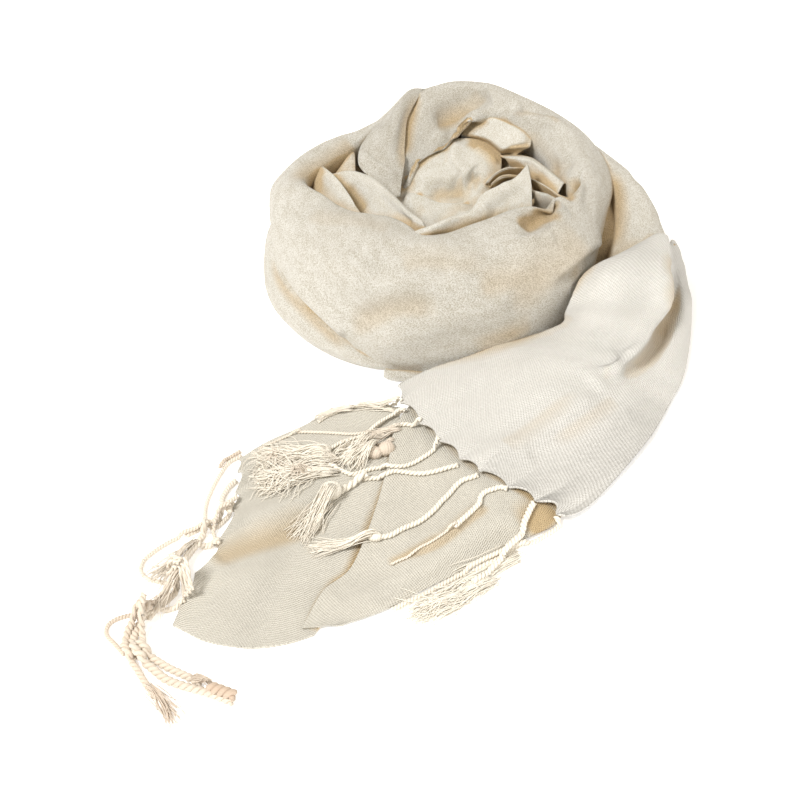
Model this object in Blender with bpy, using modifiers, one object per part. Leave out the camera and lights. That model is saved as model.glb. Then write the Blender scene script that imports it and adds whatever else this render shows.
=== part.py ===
"""A stole wound into a low coil, with both its fringed ends drawn out in front of it.

The cloth is one long rectangle, gathered lengthwise and wound round itself. Each stretch that
shows is a thin wall, lofted through sections. The layers that nothing shows are three rounded
cores with flat undersides, which the walls lie on. Every fringe group has one plain solid.

Tables are in millimetres, and UNIT brings them to metres. Z = 0 is the table top.
"""

import math

import bmesh
import bpy
import numpy as np
from mathutils import Vector
from mathutils.bvhtree import BVHTree

UNIT = 0.001            # tables are in millimetres
CLOTH = 2.0             # wall of doubled, gathered cloth
SINGLE = 1.2            # wall of the single folds in the heart
GAP = 0.35              # clear space between neighbouring pieces
CENTRE_X = 22.0         # axis that the coil is wound round
CENTRE_Y = 115.0
ORIGIN_X = 11.25        # middle of the whole part's box, which becomes the origin
ORIGIN_Y = -18.94
CLOTH_COLOUR = (0.80, 0.74, 0.63)
FRINGE_COLOUR = (0.84, 0.78, 0.66)
RAYS_FROM = 300.0       # height that the draping looks down from
CORE_SIDES = 24
CORE_HEIGHTS = (0, 14, 30, 44, 56)
CORE_CLEAR = 2.0        # space left inside the curved walls for their flat facets
PANEL_CLEAR = 0.7       # the same under the nearly flat panels
FRINGE_CLEAR = 0.8      # under a fringe group, for the flat facets below it
FRINGE_PROFILE = ((-1, 0.35), (0, 1.0), (1, 0.35))  # place across, height over the thickness

# Outermost turn of the coil, from the tall lobe round left, front, right and back to it. Each
# row is one section: angle round the coil, then radius and height of the lower edge, the
# belly, the shoulder, the crest and the lip that is turned down inside.
OUTER_TURN = (
    # angle foot_r, z  belly_r, z  shoulder_r, z  crest_r, z  lip_r, z
    (112, 74, 58, 78, 68, 74, 81, 67, 91, 61, 84),
    (125, 72, 58, 75, 68, 69, 82, 62, 90, 57, 82),
    (140, 76, 58, 79, 67, 74, 81, 67, 89, 62, 81),
    (152, 84, 58, 88, 67, 84, 80, 76, 88, 69, 77),
    (165, 92, 58, 97, 66, 93, 78, 84, 86, 76, 74),
    (176, 98, 54, 103, 61, 101, 74, 93, 82, 84, 74),
    (184, 99, 38, 103, 50, 101, 70, 89, 81, 83, 75),
    (192, 99, 31, 103, 44, 99, 66, 77, 82, 71, 76),
    (201, 98, 30, 102, 42, 96, 66, 71, 82, 65, 75),
    (212, 97, 28, 101, 40, 94, 66, 68, 83, 62, 75),
    (222, 96, 26, 100, 38, 92, 67, 61, 84, 55, 75),
    (232, 96, 20, 99, 34, 91, 67, 56, 84, 50, 75),
    (242, 96, 11, 98, 28, 90, 67, 56, 84, 50, 74),
    (252, 95, 2, 97, 24, 89, 67, 59, 84, 53, 74),
    (262, 93, 0.8, 96, 24, 88, 67, 63, 84, 57, 74),
    (274, 92, 0.8, 95, 24, 87, 68, 60, 85, 54, 74),
    (290, 91, 0.8, 94, 24, 87, 68, 56, 86, 50, 75),
    (305, 91, 0.8, 94, 25, 88, 68, 59, 87, 53, 76),
    (318, 92, 0.8, 96, 28, 92, 68, 65, 88, 58, 77),
    (330, 94, 12, 99, 34, 97, 67, 76, 88, 68, 78),
    (342, 97, 32, 103, 45, 103, 66, 87, 88, 80, 79),
    (355, 101, 44, 107, 54, 108, 67, 93, 87, 84, 78),
    (370, 104, 50, 110, 58, 112, 70, 94, 88, 82, 74),
    (385, 104, 54, 110, 62, 111, 77, 92, 93, 80, 73),
    (400, 98, 56, 106, 64, 106, 81, 89, 96, 72, 88),
    (415, 96, 57, 103, 65, 103, 83, 86, 99, 69, 92),
    (428, 97, 58, 103, 66, 103, 84, 86, 100, 64, 90),
    (440, 95, 58, 101, 66, 100, 84, 81, 100, 52, 83),
    (450, 87, 58, 92, 66, 90, 84, 75, 98, 45, 80),
    (457, 81, 58, 85, 67, 82, 84, 70, 97, 41, 77),
)
# Turn below it, which shows as a crescent at the left and goes on behind. Its top meets the
# lower edge of the outermost turn.
LOWER_TURN = (
    # angle foot_r, z  belly_r, z  shoulder_r, z  top_r, z
    (100, 82, 0.8, 87, 22, 82, 46, 78, 56),
    (112, 80, 0.8, 85, 22, 79, 46, 75, 56),
    (125, 78, 0.8, 84, 22, 77, 46, 73, 56),
    (140, 82, 0.8, 88, 22, 81, 46, 77, 56),
    (152, 89, 0.8, 96, 22, 89, 46, 84, 56),
    (165, 96, 0.8, 103, 22, 97, 46, 92, 56),
    (176, 101, 0.8, 108, 20, 103, 44, 98, 51),
    (186, 103, 0.8, 108, 16, 103, 28, 98, 35),
    (196, 104, 0.8, 108, 14, 102, 23, 97, 29),
    (207, 102, 0.8, 107, 13, 101, 22, 96, 27),
    (218, 100, 0.8, 105, 12, 99, 20, 95, 25),
    (228, 98, 0.8, 103, 10, 99, 16, 95, 20),
    (239, 97, 0.8, 101, 5, 100, 8, 96, 11),
)
# The same turn where it shows again, low down on the right, inside the outer sweep.
SIDE_TURN = (
    (336, 92, 0.8, 97, 9, 97, 15, 94, 20),
    (342, 94, 0.8, 102, 14, 101, 24, 97, 30),
    (350, 99, 0.8, 108, 20, 105, 32, 99, 38),
    (360, 103, 0.8, 113, 22, 110, 38, 102, 45),
    (372, 104, 0.8, 114, 22, 110, 40, 103, 49),
    (385, 102, 0.8, 108, 22, 106, 42, 102, 52),
)
# Cloth that leaves the coil: it starts against the back wall, leans out at the right and runs
# down under the tail. Angle, then the lower edge, belly, shoulder, crest and inner edge.
OUTER_SWEEP = (
    # angle foot_r, z  belly_r, z  shoulder_r, z  crest_r, z  inner_r, z
    (106, 87, 0.8, 92, 22, 89, 46, 88, 58, 89, 67),
    (90, 92, 0.8, 98, 22, 97, 46, 96, 60, 96, 68),
    (75, 101, 0.8, 107, 22, 108, 48, 106, 63, 105, 71),
    (55, 103, 0.8, 109, 22, 110, 48, 108, 64, 106, 72),
    (38, 107, 0.8, 114, 22, 116, 50, 113, 67, 110, 72),
    (22, 112, 0.8, 121, 24, 122, 52, 120, 67, 115, 70),
    (11, 119, 0.8, 129, 24, 129, 50, 124, 69, 114, 64),
    (0, 129, 0.8, 139, 22, 139, 46, 131, 66, 117, 56),
    (-10, 142, 0.8, 153, 20, 152, 42, 141, 60, 118, 48),
    (-17, 152, 0.8, 164, 14, 155, 32, 143, 47, 118, 42),
    (-24, 158, 0.8, 167, 7, 158, 19, 145, 31, 118, 34),
)
# Tall lobe: a strap of cloth that comes up the back wall, goes over the rim and narrows to a
# tip in the heart of the coil. Left edge, left and right of the ridge, right edge.
TALL_LOBE = (
    # left            left of ridge      right of ridge     right
    ((-33, 192, 1), (-17, 201, 1), (5, 209, 1), (19, 212, 1)),
    ((-31, 195, 22), (-16, 204, 22), (4, 212, 22), (17, 216, 22)),
    ((-27, 193, 46), (-14, 201, 46), (3, 208.5, 46), (14, 213, 46)),
    ((-27, 186, 66), (-14, 194, 68), (2, 202, 70), (14, 207, 70)),
    ((-18, 172, 83), (-6, 182, 89), (6, 191, 94), (17, 197, 92)),
    ((-16, 162, 89), (-4, 173, 96), (6, 184, 102), (16, 191, 99)),
    ((-18, 154, 89), (-8, 162, 93), (2, 173, 98), (12, 183, 97)),
    ((-23, 147, 87), (-12, 153, 89), (-1, 161, 91), (6, 169, 90)),
    ((-26, 141, 82), (-14, 145, 83), (-4, 150, 83), (4, 156, 81)),
    ((-25, 133, 79), (-15, 136, 79), (-6, 140, 77), (3, 144, 74)),
    ((-17, 124, 76), (-11, 128, 74), (-5, 131, 71), (1, 134, 68)),
    ((-6, 115, 68), (-4, 117, 66), (-2, 119, 65), (0, 121, 64)),
)
# Leaf at the left of the heart: root, left edge, middle and right edge, which is free.
LEAF_LEFT = (
    ((-52, 134, 58), (-51, 132, 75), (-50, 131, 78), (-48, 130, 80)),
    ((-56, 124, 56), (-54, 124, 71), (-48, 123, 77), (-42, 121, 81)),
    ((-55, 114, 54), (-53, 114, 69), (-44, 112, 76), (-36, 110, 81)),
    ((-50, 102, 54), (-47, 101, 68), (-38, 99, 75), (-30, 97, 80)),
    ((-40, 88, 54), (-38, 88, 67), (-31, 86, 73), (-25, 84, 78)),
)
# Leaf in the middle: root in the heart, rim, middle, near edge and near root.
LEAF_MID = (
    ((-46, 129, 62), (-45, 126, 77), (-43, 122, 74), (-42, 118, 68), (-41, 115, 60)),
    ((-33, 131, 60), (-34, 125, 80), (-33, 114, 74), (-32, 104, 65), (-30, 100, 56)),
    ((-21, 129, 60), (-24, 122, 80), (-22, 105, 75), (-22, 90, 66), (-21, 86, 56)),
    ((-8, 122, 56), (-15, 116, 79), (-13, 98, 77), (-12, 83, 69), (-11, 79, 56)),
    ((3, 107, 55), (-4, 101, 78), (-4, 88, 80), (-3, 78, 73), (-3, 75, 58)),
    ((11, 91, 56), (5, 84, 79), (4, 76, 82), (6, 70, 76), (6, 67, 60)),
    ((20, 79, 60), (14, 72, 79), (14, 66, 82), (15, 63, 77), (15, 61, 60)),
)
# Small leaf between the left rim and the tall lobe: root, left edge, ridge, right edge.
LEAF_SMALL = (
    ((-34, 151, 60), (-32, 149, 77), (-30, 148, 80), (-28, 147, 79)),
    ((-41, 144, 57), (-38, 142, 72), (-33, 141, 77), (-28, 139, 77)),
    ((-45, 137, 54), (-42, 135, 69), (-35, 134, 73), (-28, 132, 73)),
    ((-46, 131, 52), (-43, 130, 62), (-36, 129, 64), (-28, 128, 64)),
)
# Right-hand leaf and the low rim that leads to it: root in the heart, rim, middle, near edge.
LEAF_RIGHT = (
    ((14, 69, 66), (12, 62, 81), (13, 58, 81), (14, 57, 76)),
    ((25, 74, 64), (22, 66, 83), (23, 62, 82), (24, 61, 73)),
    ((36, 81, 62), (32, 73, 84), (34, 67, 82), (35, 65, 72)),
    ((47, 88, 60), (41, 78, 86), (44, 71, 82), (46, 69, 72)),
    ((54, 96, 60), (46, 86, 87), (51, 79, 83), (53, 74, 74)),
    ((60, 106, 60), (52, 98, 87), (58, 88, 83), (60, 78, 76)),
    ((67, 113, 60), (62, 105, 88), (66, 92, 84), (67, 80, 77)),
    ((76, 119, 62), (72, 111, 89), (74, 96, 85), (74, 84, 78)),
    ((83, 124, 64), (79, 117, 91), (81, 100, 86), (80, 88, 79)),
)
# The rounded pouch that fills the heart, from left to right: back edge to front edge.
DOME = (
    ((-3, 150, 60), (-3, 142, 59), (-3, 128, 57), (-1, 113, 56), (8, 93, 58)),
    ((10, 158, 69), (12, 146, 66), (13, 131, 59), (16, 114, 57), (20, 92, 61)),
    ((24, 164, 74), (26, 152, 72), (27, 136, 63), (29, 115, 57), (32, 89, 63)),
    ((38, 168, 76), (40, 157, 75), (41, 141, 67), (42, 120, 59), (44, 96, 63)),
    ((52, 167, 75), (53, 156, 73), (53, 143, 68), (53, 127, 61), (52, 106, 62)),
    ((64, 160, 71), (64, 152, 68), (63, 142, 63), (62, 130, 58), (60, 114, 58)),
)
# Rolls: centre line, then radius. An open wall follows each from START round to END.
COLLAR_ROLL = (
    # x   y    z  radius
    (42, 162, 81, 6),
    (50, 164, 83, 8),
    (59, 161, 83, 8.5),
    (68, 154, 82, 8.5),
    (76, 148, 81, 8),
    (82, 144, 80, 6),
)
INNER_ROLL = (
    (67, 140, 74, 5),
    (77, 138, 76, 6),
    (87, 128, 77, 6),
    (95, 115, 78, 5.5),
    (99, 102, 78, 5),
)
SMALL_ROLL = (
    (-12, 21.5, 5.2, 4),
    (-5, 18.5, 5.7, 4.5),
    (5, 17, 5.7, 4.5),
    (14, 15.5, 5.7, 4.5),
)
ROLL_START = -75.0
ROLL_END = 150.0
GATHERED_SHARE = 0.6    # width of a fan of pleats where it is gathered, over its spread width
# Pleats: the gathered end, the spread end's two corners, how many pleats and how deep.
RIGHT_PLEATS = ((93, 98, 76), (81, 101, 72), (83, 119, 71), 3, 1.0)
HEART_PLEATS = ((64, 140, 72), (40, 118, 66), (52, 142, 69), 3, 0.9)

# Tail, as sections across it from the hump behind to the fringed end: the inner edge against
# the coil, four points across, and the outer edge.
TAIL_TOP = (
    ((133, 70, 48), (141, 77, 49), (150, 85, 49), (158, 91, 47), (163, 93, 44), (166, 90, 42)),
    ((131, 64, 59), (140, 69, 62), (149, 77, 62), (157, 84, 60), (163, 84, 56), (166, 80, 49)),
    ((121, 62, 57), (131, 60, 62), (142, 62, 63), (153, 66, 60), (161, 68, 55), (165, 67, 47)),
    ((109, 54, 52), (120, 48, 58), (134, 47, 59), (148, 49, 55), (158, 52, 47), (163, 54, 38)),
    ((101, 38, 45), (115, 32, 51), (131, 30, 51), (147, 33, 44), (160, 38, 32), (170, 43, 14)),
    ((97, 30, 36), (110, 17, 43), (127, 12, 42), (145, 12, 35), (161, 18, 22), (173, 26, 5)),
    ((78, 28, 27), (95, 6, 36), (113, -6, 34), (132, -10, 28), (150, -7, 18), (165, 1, 4)),
    ((58, 24, 23), (74, 0, 30), (92, -20, 28), (112, -32, 23), (132, -36, 15), (149, -33, 4)),
    ((39, 17, 19), (53, -11, 25), (69, -34, 24), (88, -52, 20), (110, -62, 13), (133, -60, 4)),
    ((20, 12, 15), (34, -20, 20), (49, -47, 20), (67, -68, 18), (88, -82, 12), (114, -88, 4)),
    ((5, 3, 13), (20, -26, 17), (39, -56, 18), (58, -77, 17), (78, -92, 13), (101, -103, 5)),
    ((-6, -8, 12), (8, -33, 14), (28, -64, 16), (49, -86, 16), (69, -99, 13), (90, -110, 7)),
)
# Lower end, right-hand panel: its folded left edge, three points across, its right edge.
UNDER_PANEL = (
    ((8, -8, 7), (33, -36, 9), (57, -60, 9), (78, -78, 8), (96, -90, 3)),
    ((-3, -36, 9), (22, -60, 10), (45, -78, 12), (66, -93, 11), (88, -110, 3)),
    ((-7, -68, 9), (15, -80, 8), (36, -94, 12), (54, -106, 11), (74, -120, 2.5)),
    ((-12, -96, 8), (7, -102, 8), (25, -111, 11), (40, -121, 10), (55, -132, 2.5)),
    ((-18, -123, 8), (-3, -129, 7), (12, -136, 9), (24, -143, 8), (34, -148, 2.5)),
    ((-27, -150, 6), (-14, -155, 6), (-3, -159, 8), (7, -162, 7), (13, -163, 2.5)),
    ((-41, -167, 6), (-31, -171, 6), (-23, -174, 6), (-15, -177, 5), (-10, -179, 2.5)),
    ((-52, -193, 4), (-46, -192, 4), (-41, -191, 4), (-36, -190, 3), (-31, -189, 2.5)),
)
# Lower end, left-hand panel: from its back edge to its front edge, starting at the right.
END_PANEL = (
    ((0, -14, 6), (-1, -45, 6), (-6, -85, 5), (-14, -122, 4), (-24, -155, 3.5), (-46, -196, 2.5)),
    ((-19, -12, 7), (-20, -45, 7), (-24, -80, 6), (-32, -115, 5), (-44, -152, 4), (-60, -202, 2.5)),
    ((-38, -17, 7), (-40, -48, 8), (-45, -80, 7), (-52, -113, 7), (-62, -152, 6), (-76, -205, 2.5)),
    ((-57, -31, 6), (-60, -56, 9), (-64, -84, 7), (-70, -116, 9), (-78, -154, 7), (-90, -204, 2.5)),
    ((-76, -42, 4), (-78, -62, 7), (-80, -86, 6), (-86, -118, 8), (-93, -156, 6), (-104, -200, 2.5)),
    ((-93, -57, 2.5), (-94, -76, 4), (-95, -98, 4), (-102, -126, 4), (-112, -152, 4), (-121, -190, 2.5)),
)
# Fringe groups: points along the middle of each, with its width and thickness there.
FRINGES = {
    "fringe_upper_back": (
        # x   y  width thick
        (-9, -14, 10, 5),
        (-28, -32, 16, 5),
        (-48, -42, 18, 6),
        (-66, -48, 16, 5),
        (-78, -58, 8, 3),
    ),
    "fringe_tuft": (
        (-6, -44, 12, 6),
        (-22, -58, 22, 9),
        (-42, -66, 24, 9),
        (-62, -66, 20, 7),
        (-72, -66, 10, 4),
    ),
    "fringe_upper_mid": (
        (30, -72, 5, 4),
        (16, -84, 6, 4),
        (-8, -84, 7, 4),
        (-26, -96, 7, 5),
        (-42, -106, 10, 6),
        (-58, -128, 12, 4),
    ),
    "fringe_upper_front": (
        (43, -86, 5, 4),
        (24, -98, 5, 4),
        (0, -122, 5, 4),
        (-20, -132, 6, 4),
        (-38, -140, 12, 4),
        (-54, -144, 16, 4),
    ),
    "fringe_fold": (
        (62, -97, 5, 4),
        (48, -106, 5, 4),
        (36, -126, 5, 4),
        (14, -144, 5, 4),
        (-6, -156, 5, 4),
    ),
    "fringe_edge": (
        (88, -116, 8, 5),
        (74, -128, 12, 5),
        (56, -140, 12, 5),
        (38, -152, 16, 5),
        (20, -168, 26, 5),
        (4, -178, 18, 4),
    ),
    "fringe_left": (
        (-98, -72, 14, 4),
        (-106, -92, 18, 4),
        (-116, -118, 26, 5),
        (-126, -144, 34, 5),
        (-132, -164, 20, 5),
        (-141, -184, 12, 5),
    ),
    "fringe_bundle": (
        (-143, -183, 16, 5),
        (-149, -196, 14, 5),
        (-141, -210, 13, 6),
        (-128, -222, 18, 6),
        (-112, -236, 26, 5),
        (-102, -246, 30, 4),
    ),
}


def spline(points, count):
    """Evenly spaced samples of a smooth curve that goes through all the points."""
    points = np.asarray(points, float)
    before = 2 * points[:1] - points[1:2]
    after = 2 * points[-1:] - points[-2:-1]
    padded = np.concatenate([before, points, after])
    place = np.linspace(0, len(points) - 1, count)
    span = np.minimum(place.astype(int), len(points) - 2)
    t = (place - span).reshape((-1,) + (1,) * (points.ndim - 1))
    a, b, c, d = (padded[span + step] for step in range(4))
    return 0.5 * (2 * b + (c - a) * t + (2 * a - 5 * b + 4 * c - d) * t**2 + (3 * b - 3 * c + d - a) * t**3)


def surface(sections, along, across):
    """A grid of points, lofted first across each section and then from section to section."""
    rows = np.asarray(sections, float)
    crossed = spline(np.swapaxes(rows, 0, 1), across)
    return spline(np.swapaxes(crossed, 0, 1), along)


def turn_sections(table):
    """Sections of (angle, radius, height) points from a table of a turn of the coil."""
    return [[(row[0], row[i], row[i + 1]) for i in range(1, len(row), 2)] for row in table]


def round_the_coil(grid):
    """Angle, radius and height made into X, Y and Z."""
    angle = np.radians(grid[..., 0])
    x = CENTRE_X + grid[..., 1] * np.cos(angle)
    y = CENTRE_Y + grid[..., 1] * np.sin(angle)
    return np.stack([x, y, grid[..., 2]], axis=-1)


def roll_grid(line, along, across):
    """Points round a roll: its arc starts underneath, faces the front and ends on top."""
    path = spline(line, along)
    ahead = np.gradient(path[:, :2], axis=0)
    ahead /= np.linalg.norm(ahead, axis=1)[:, None]
    out = np.stack([ahead[:, 1], -ahead[:, 0]], axis=1)
    grid = np.empty((along, across, 3))
    for j, turn in enumerate(np.radians(np.linspace(ROLL_START, ROLL_END, across))):
        grid[:, j, :2] = path[:, :2] + out * (path[:, 3] * math.cos(turn))[:, None]
        grid[:, j, 2] = path[:, 2] + path[:, 3] * math.sin(turn)
    return grid


def pleat_grid(pleats, along, across):
    """A fan of rounded pleats between the gathered end and the spread end."""
    gathered, corner_a, corner_b, count, depth = pleats
    gathered = np.array(gathered, float)
    corner_a = np.array(corner_a, float)
    corner_b = np.array(corner_b, float)
    share = np.linspace(0, 1, across)
    spread = corner_a + (corner_b - corner_a) * share[:, None]
    near = gathered + (spread - spread.mean(axis=0)) * GATHERED_SHARE
    wave = depth * np.sin(np.pi * count * share) ** 2
    reach = np.linspace(0, 1, along)[:, None, None]
    grid = near + (spread - near) * reach
    grid[..., 2] += wave * (0.5 + 0.5 * reach[..., 0])
    return grid


def to_metres(point):
    return Vector(((point[0] - ORIGIN_X) * UNIT, (point[1] - ORIGIN_Y) * UNIT, point[2] * UNIT))


def plain_material(name, colour):
    material = bpy.data.materials.new(name)
    material.use_nodes = True
    shader = material.node_tree.nodes["Principled BSDF"]
    shader.inputs["Base Color"].default_value = (*colour, 1)
    shader.inputs["Roughness"].default_value = 0.75
    shader.inputs["Metallic"].default_value = 0.0
    return material


def add_piece(name, mesh, colour=CLOTH_COLOUR):
    piece = bpy.data.objects.new(name, mesh)
    stole.objects.link(piece)
    mesh.materials.append(plain_material(name + "_cloth", colour))
    mesh.shade_smooth()
    return piece


def grid_mesh(name, grid, flip):
    """An open sheet of quads through a grid of points, facing up or out."""
    rows, columns = grid.shape[:2]
    vertices = [to_metres(p) for p in grid.reshape(-1, 3)]
    faces = []
    for i in range(rows - 1):
        for j in range(columns - 1):
            corner = i * columns + j
            face = (corner, corner + 1, corner + columns + 1, corner + columns)
            faces.append(face[::-1] if flip else face)
    mesh = bpy.data.meshes.new(name)
    mesh.from_pydata(vertices, [], faces)
    return mesh


def wall(name, grid, flip=False, thickness=CLOTH, colour=CLOTH_COLOUR):
    """Cloth of one thickness, hanging inside the surface that shows."""
    piece = add_piece(name, grid_mesh(name, grid, flip), colour)
    solidify = piece.modifiers.new("cloth", "SOLIDIFY")
    solidify.thickness = thickness * UNIT
    solidify.offset = -1.0
    bake(piece)
    return piece


def core(name, rings, colour=CLOTH_COLOUR):
    """A rounded solid through closed rings of points, capped at both ends."""
    mesh = bpy.data.meshes.new(name)
    frame = bmesh.new()
    loops = [[frame.verts.new(to_metres(p)) for p in ring] for ring in rings]
    for lower, upper in zip(loops, loops[1:]):
        for i in range(len(lower)):
            k = (i + 1) % len(lower)
            frame.faces.new((lower[i], lower[k], upper[k], upper[i]))
    frame.faces.new(loops[0][::-1])
    frame.faces.new(loops[-1])
    bmesh.ops.recalc_face_normals(frame, faces=frame.faces)
    bmesh.ops.triangulate(frame, faces=frame.faces)
    frame.to_mesh(mesh)
    frame.free()
    return add_piece(name, mesh, colour)


def bake(piece):
    """Puts the piece's modifiers into its mesh, and keeps only its largest body."""
    graph = bpy.context.evaluated_depsgraph_get()
    mesh = bpy.data.meshes.new_from_object(piece.evaluated_get(graph))
    piece.modifiers.clear()
    old = piece.data
    piece.data = mesh
    bpy.data.meshes.remove(old)
    frame = bmesh.new()
    frame.from_mesh(mesh)
    bmesh.ops.remove_doubles(frame, verts=frame.verts, dist=0.02 * UNIT)
    bmesh.ops.dissolve_degenerate(frame, edges=frame.edges, dist=0.01 * UNIT)
    keep_largest(frame)
    bmesh.ops.triangulate(frame, faces=frame.faces)
    frame.to_mesh(mesh)
    frame.free()
    mesh.name = piece.name


def keep_largest(frame):
    """Deletes the offcuts that a trim leaves beside the piece."""
    left = set(frame.verts)
    bodies = []
    while left:
        body = set()
        todo = [left.pop()]
        while todo:
            vertex = todo.pop()
            body.add(vertex)
            for edge in vertex.link_edges:
                other = edge.other_vert(vertex)
                if other in left:
                    left.remove(other)
                    todo.append(other)
        faces = {face for vertex in body for face in vertex.link_faces}
        bodies.append((sum(face.calc_area() for face in faces), len(bodies), body))
    bodies.sort()
    offcuts = [vertex for _, _, body in bodies[:-1] for vertex in body]
    bmesh.ops.delete(frame, geom=offcuts, context="VERTS")


def trim(piece, *neighbours):
    """Cuts the piece back so that it clears its neighbours by the gap."""
    for neighbour in neighbours:
        cutter = bpy.data.objects.new(neighbour.name + "_cutter", neighbour.data.copy())
        cutters.objects.link(cutter)
        cutter.hide_render = True
        cutter.display_type = "WIRE"
        grow = cutter.modifiers.new("clearance", "DISPLACE")
        grow.strength = GAP * UNIT
        grow.mid_level = 0.0
        graph = bpy.context.evaluated_depsgraph_get()
        near = BVHTree.FromObject(piece, graph).overlap(BVHTree.FromObject(cutter, graph))
        if near:
            cut = piece.modifiers.new("trim", "BOOLEAN")
            cut.object = cutter
            cut.operation = "DIFFERENCE"
            bake(piece)
        bpy.data.objects.remove(cutter)


TURNS = (OUTER_TURN, LOWER_TURN, SIDE_TURN, OUTER_SWEEP)


def wall_radius(table, angle, height):
    """Radius of a turn's outer face at an angle and a height, or infinity where it has none."""
    rows = np.array(sorted(table), float)
    if not rows[0, 0] <= angle <= rows[-1, 0]:
        return math.inf
    here = [np.interp(angle, rows[:, 0], rows[:, i]) for i in range(1, rows.shape[1])]
    radii, heights = here[0::2], here[1::2]
    if height > heights[3]:
        return math.inf
    return np.interp(height, heights[:4], radii[:4])


def core_radius(angle, height):
    """Radius inside every turn that stands at this angle, at this height or above it."""
    places = [(table, angle + turn) for table in TURNS for turn in (-360, 0, 360)]
    return min(wall_radius(table, place, height) for table, place in places) - CLOTH - CORE_CLEAR


def coil_core():
    """The hidden turns: one rounded solid with a flat underside and a hollow top."""
    angles = np.linspace(112, 472, CORE_SIDES, endpoint=False)
    outer = np.array(OUTER_TURN, float)
    shoulder, crest, lip, lip_z = (np.interp(angles, outer[:, 0], outer[:, i]) for i in (5, 7, 9, 10))
    profile = []
    for height in CORE_HEIGHTS:
        radius = np.array([core_radius(angle, height) for angle in angles])
        profile.append((radius, height))
    top_z = lip_z - 10
    profile += [
        (np.minimum((shoulder + crest) / 2 - 5, profile[-1][0] - 3), top_z + 2),
        (np.minimum(crest - 2, profile[-1][0] - 8), top_z),
        (np.minimum(lip - 10, 46), 56.0),
        (np.full(CORE_SIDES, 26.0), 51.0),
        (np.full(CORE_SIDES, 8.0), 49.0),
    ]
    rings = []
    for radius, height in profile:
        ring = np.stack([angles, radius, np.broadcast_to(height, angles.shape)], axis=-1)
        rings.append(round_the_coil(ring))
    return core("coil_core", rings)


def laid_core(name, grid, clear):
    """Layers under a panel: its surface moved inward, its border left off, on a flat underside."""
    along = np.gradient(grid, axis=0)
    across = np.gradient(grid, axis=1)
    normal = np.cross(along, across)
    normal /= np.linalg.norm(normal, axis=-1)[..., None]
    normal *= np.sign(normal[..., 2:])
    grid = (grid - normal * (CLOTH + clear))[1:-1, 1:-1]
    grid[..., 2] = np.maximum(grid[..., 2], 1.0)
    rings = []
    for row in grid:
        under = row[::-1].copy()
        under[:, 2] = 0.0
        rings.append(np.concatenate([row, under]))
    return core(name, rings)


def height_under(point, trees):
    """Height of the highest piece below a point, or the table top."""
    top = 0.0
    for tree in trees:
        start = to_metres((point[0], point[1], RAYS_FROM))
        hit = tree.ray_cast(start, Vector((0, 0, -1)))[0]
        if hit is not None:
            top = max(top, hit.z / UNIT)
    return top


def fringe(name, line, carriers):
    """The reach of one group of tassels: a low rounded strip laid on the cloth below it."""
    graph = bpy.context.evaluated_depsgraph_get()
    trees = [BVHTree.FromObject(piece, graph) for piece in carriers]
    path = spline(line, 2 * len(line))
    ahead = np.gradient(path[:, :2], axis=0)
    ahead /= np.linalg.norm(ahead, axis=1)[:, None]
    side = np.stack([-ahead[:, 1], ahead[:, 0]], axis=1)
    rings = []
    for centre, across in zip(path, side):
        places = [centre[:2] + across * centre[2] / 2 * share for share, _ in FRINGE_PROFILE]
        heights = [height_under(place, trees) + FRINGE_CLEAR for place in places]
        below = [(*place, height) for place, height in zip(places, heights)]
        rises = [centre[3] * rise for _, rise in FRINGE_PROFILE]
        above = [(*place, height + rise) for place, height, rise in zip(places, heights, rises)]
        rings.append(below + above[::-1])
    return core(name, rings, FRINGE_COLOUR)


for old in list(bpy.data.objects):
    bpy.data.objects.remove(old)
stole = bpy.data.collections.new("stole")
cutters = bpy.data.collections.new("cutters")
bpy.context.scene.collection.children.link(stole)
bpy.context.scene.collection.children.link(cutters)

# The coil's walls, from outside in. Each is trimmed by what lies over it.
tall_lobe = wall("tall_lobe", surface(TALL_LOBE, 19, 6))
outer_turn = wall("outer_turn", round_the_coil(surface(turn_sections(OUTER_TURN), 40, 8)), flip=True)
trim(outer_turn, tall_lobe)
outer_sweep = wall("outer_sweep", round_the_coil(surface(turn_sections(OUTER_SWEEP), 19, 8)))
trim(outer_sweep, outer_turn, tall_lobe)
lower_turn = wall("lower_turn", round_the_coil(surface(turn_sections(LOWER_TURN), 19, 5)), flip=True)
trim(lower_turn, outer_turn, outer_sweep, tall_lobe)
side_turn = wall("side_turn", round_the_coil(surface(turn_sections(SIDE_TURN), 8, 5)), flip=True)
trim(side_turn, outer_turn, outer_sweep)
coil = coil_core()
trim(lower_turn, coil)
trim(side_turn, coil)
trim(outer_turn, coil)

# The folds in the heart of the coil, from the uppermost down.
leaf_left = wall("leaf_left", surface(LEAF_LEFT, 7, 6), flip=True, thickness=SINGLE)
trim(leaf_left, coil, outer_turn)
leaf_mid = wall("leaf_mid", surface(LEAF_MID, 11, 8), flip=True, thickness=SINGLE)
trim(leaf_mid, coil, outer_turn, leaf_left, tall_lobe)
leaf_small = wall("leaf_small", surface(LEAF_SMALL, 6, 6), thickness=SINGLE)
trim(leaf_small, coil, leaf_mid, leaf_left, tall_lobe)
leaf_right = wall("leaf_right", surface(LEAF_RIGHT, 13, 7), thickness=SINGLE)
trim(leaf_right, coil, outer_turn, leaf_mid)
collar_roll = wall("collar_roll", roll_grid(COLLAR_ROLL, 9, 7), thickness=SINGLE)
trim(collar_roll, outer_turn)
inner_roll = wall("inner_roll", roll_grid(INNER_ROLL, 9, 7), thickness=SINGLE)
trim(inner_roll, collar_roll, outer_turn, leaf_right)
right_pleats = wall("right_pleats", pleat_grid(RIGHT_PLEATS, 5, 13), thickness=SINGLE)
trim(right_pleats, inner_roll, leaf_right, outer_turn)
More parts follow.
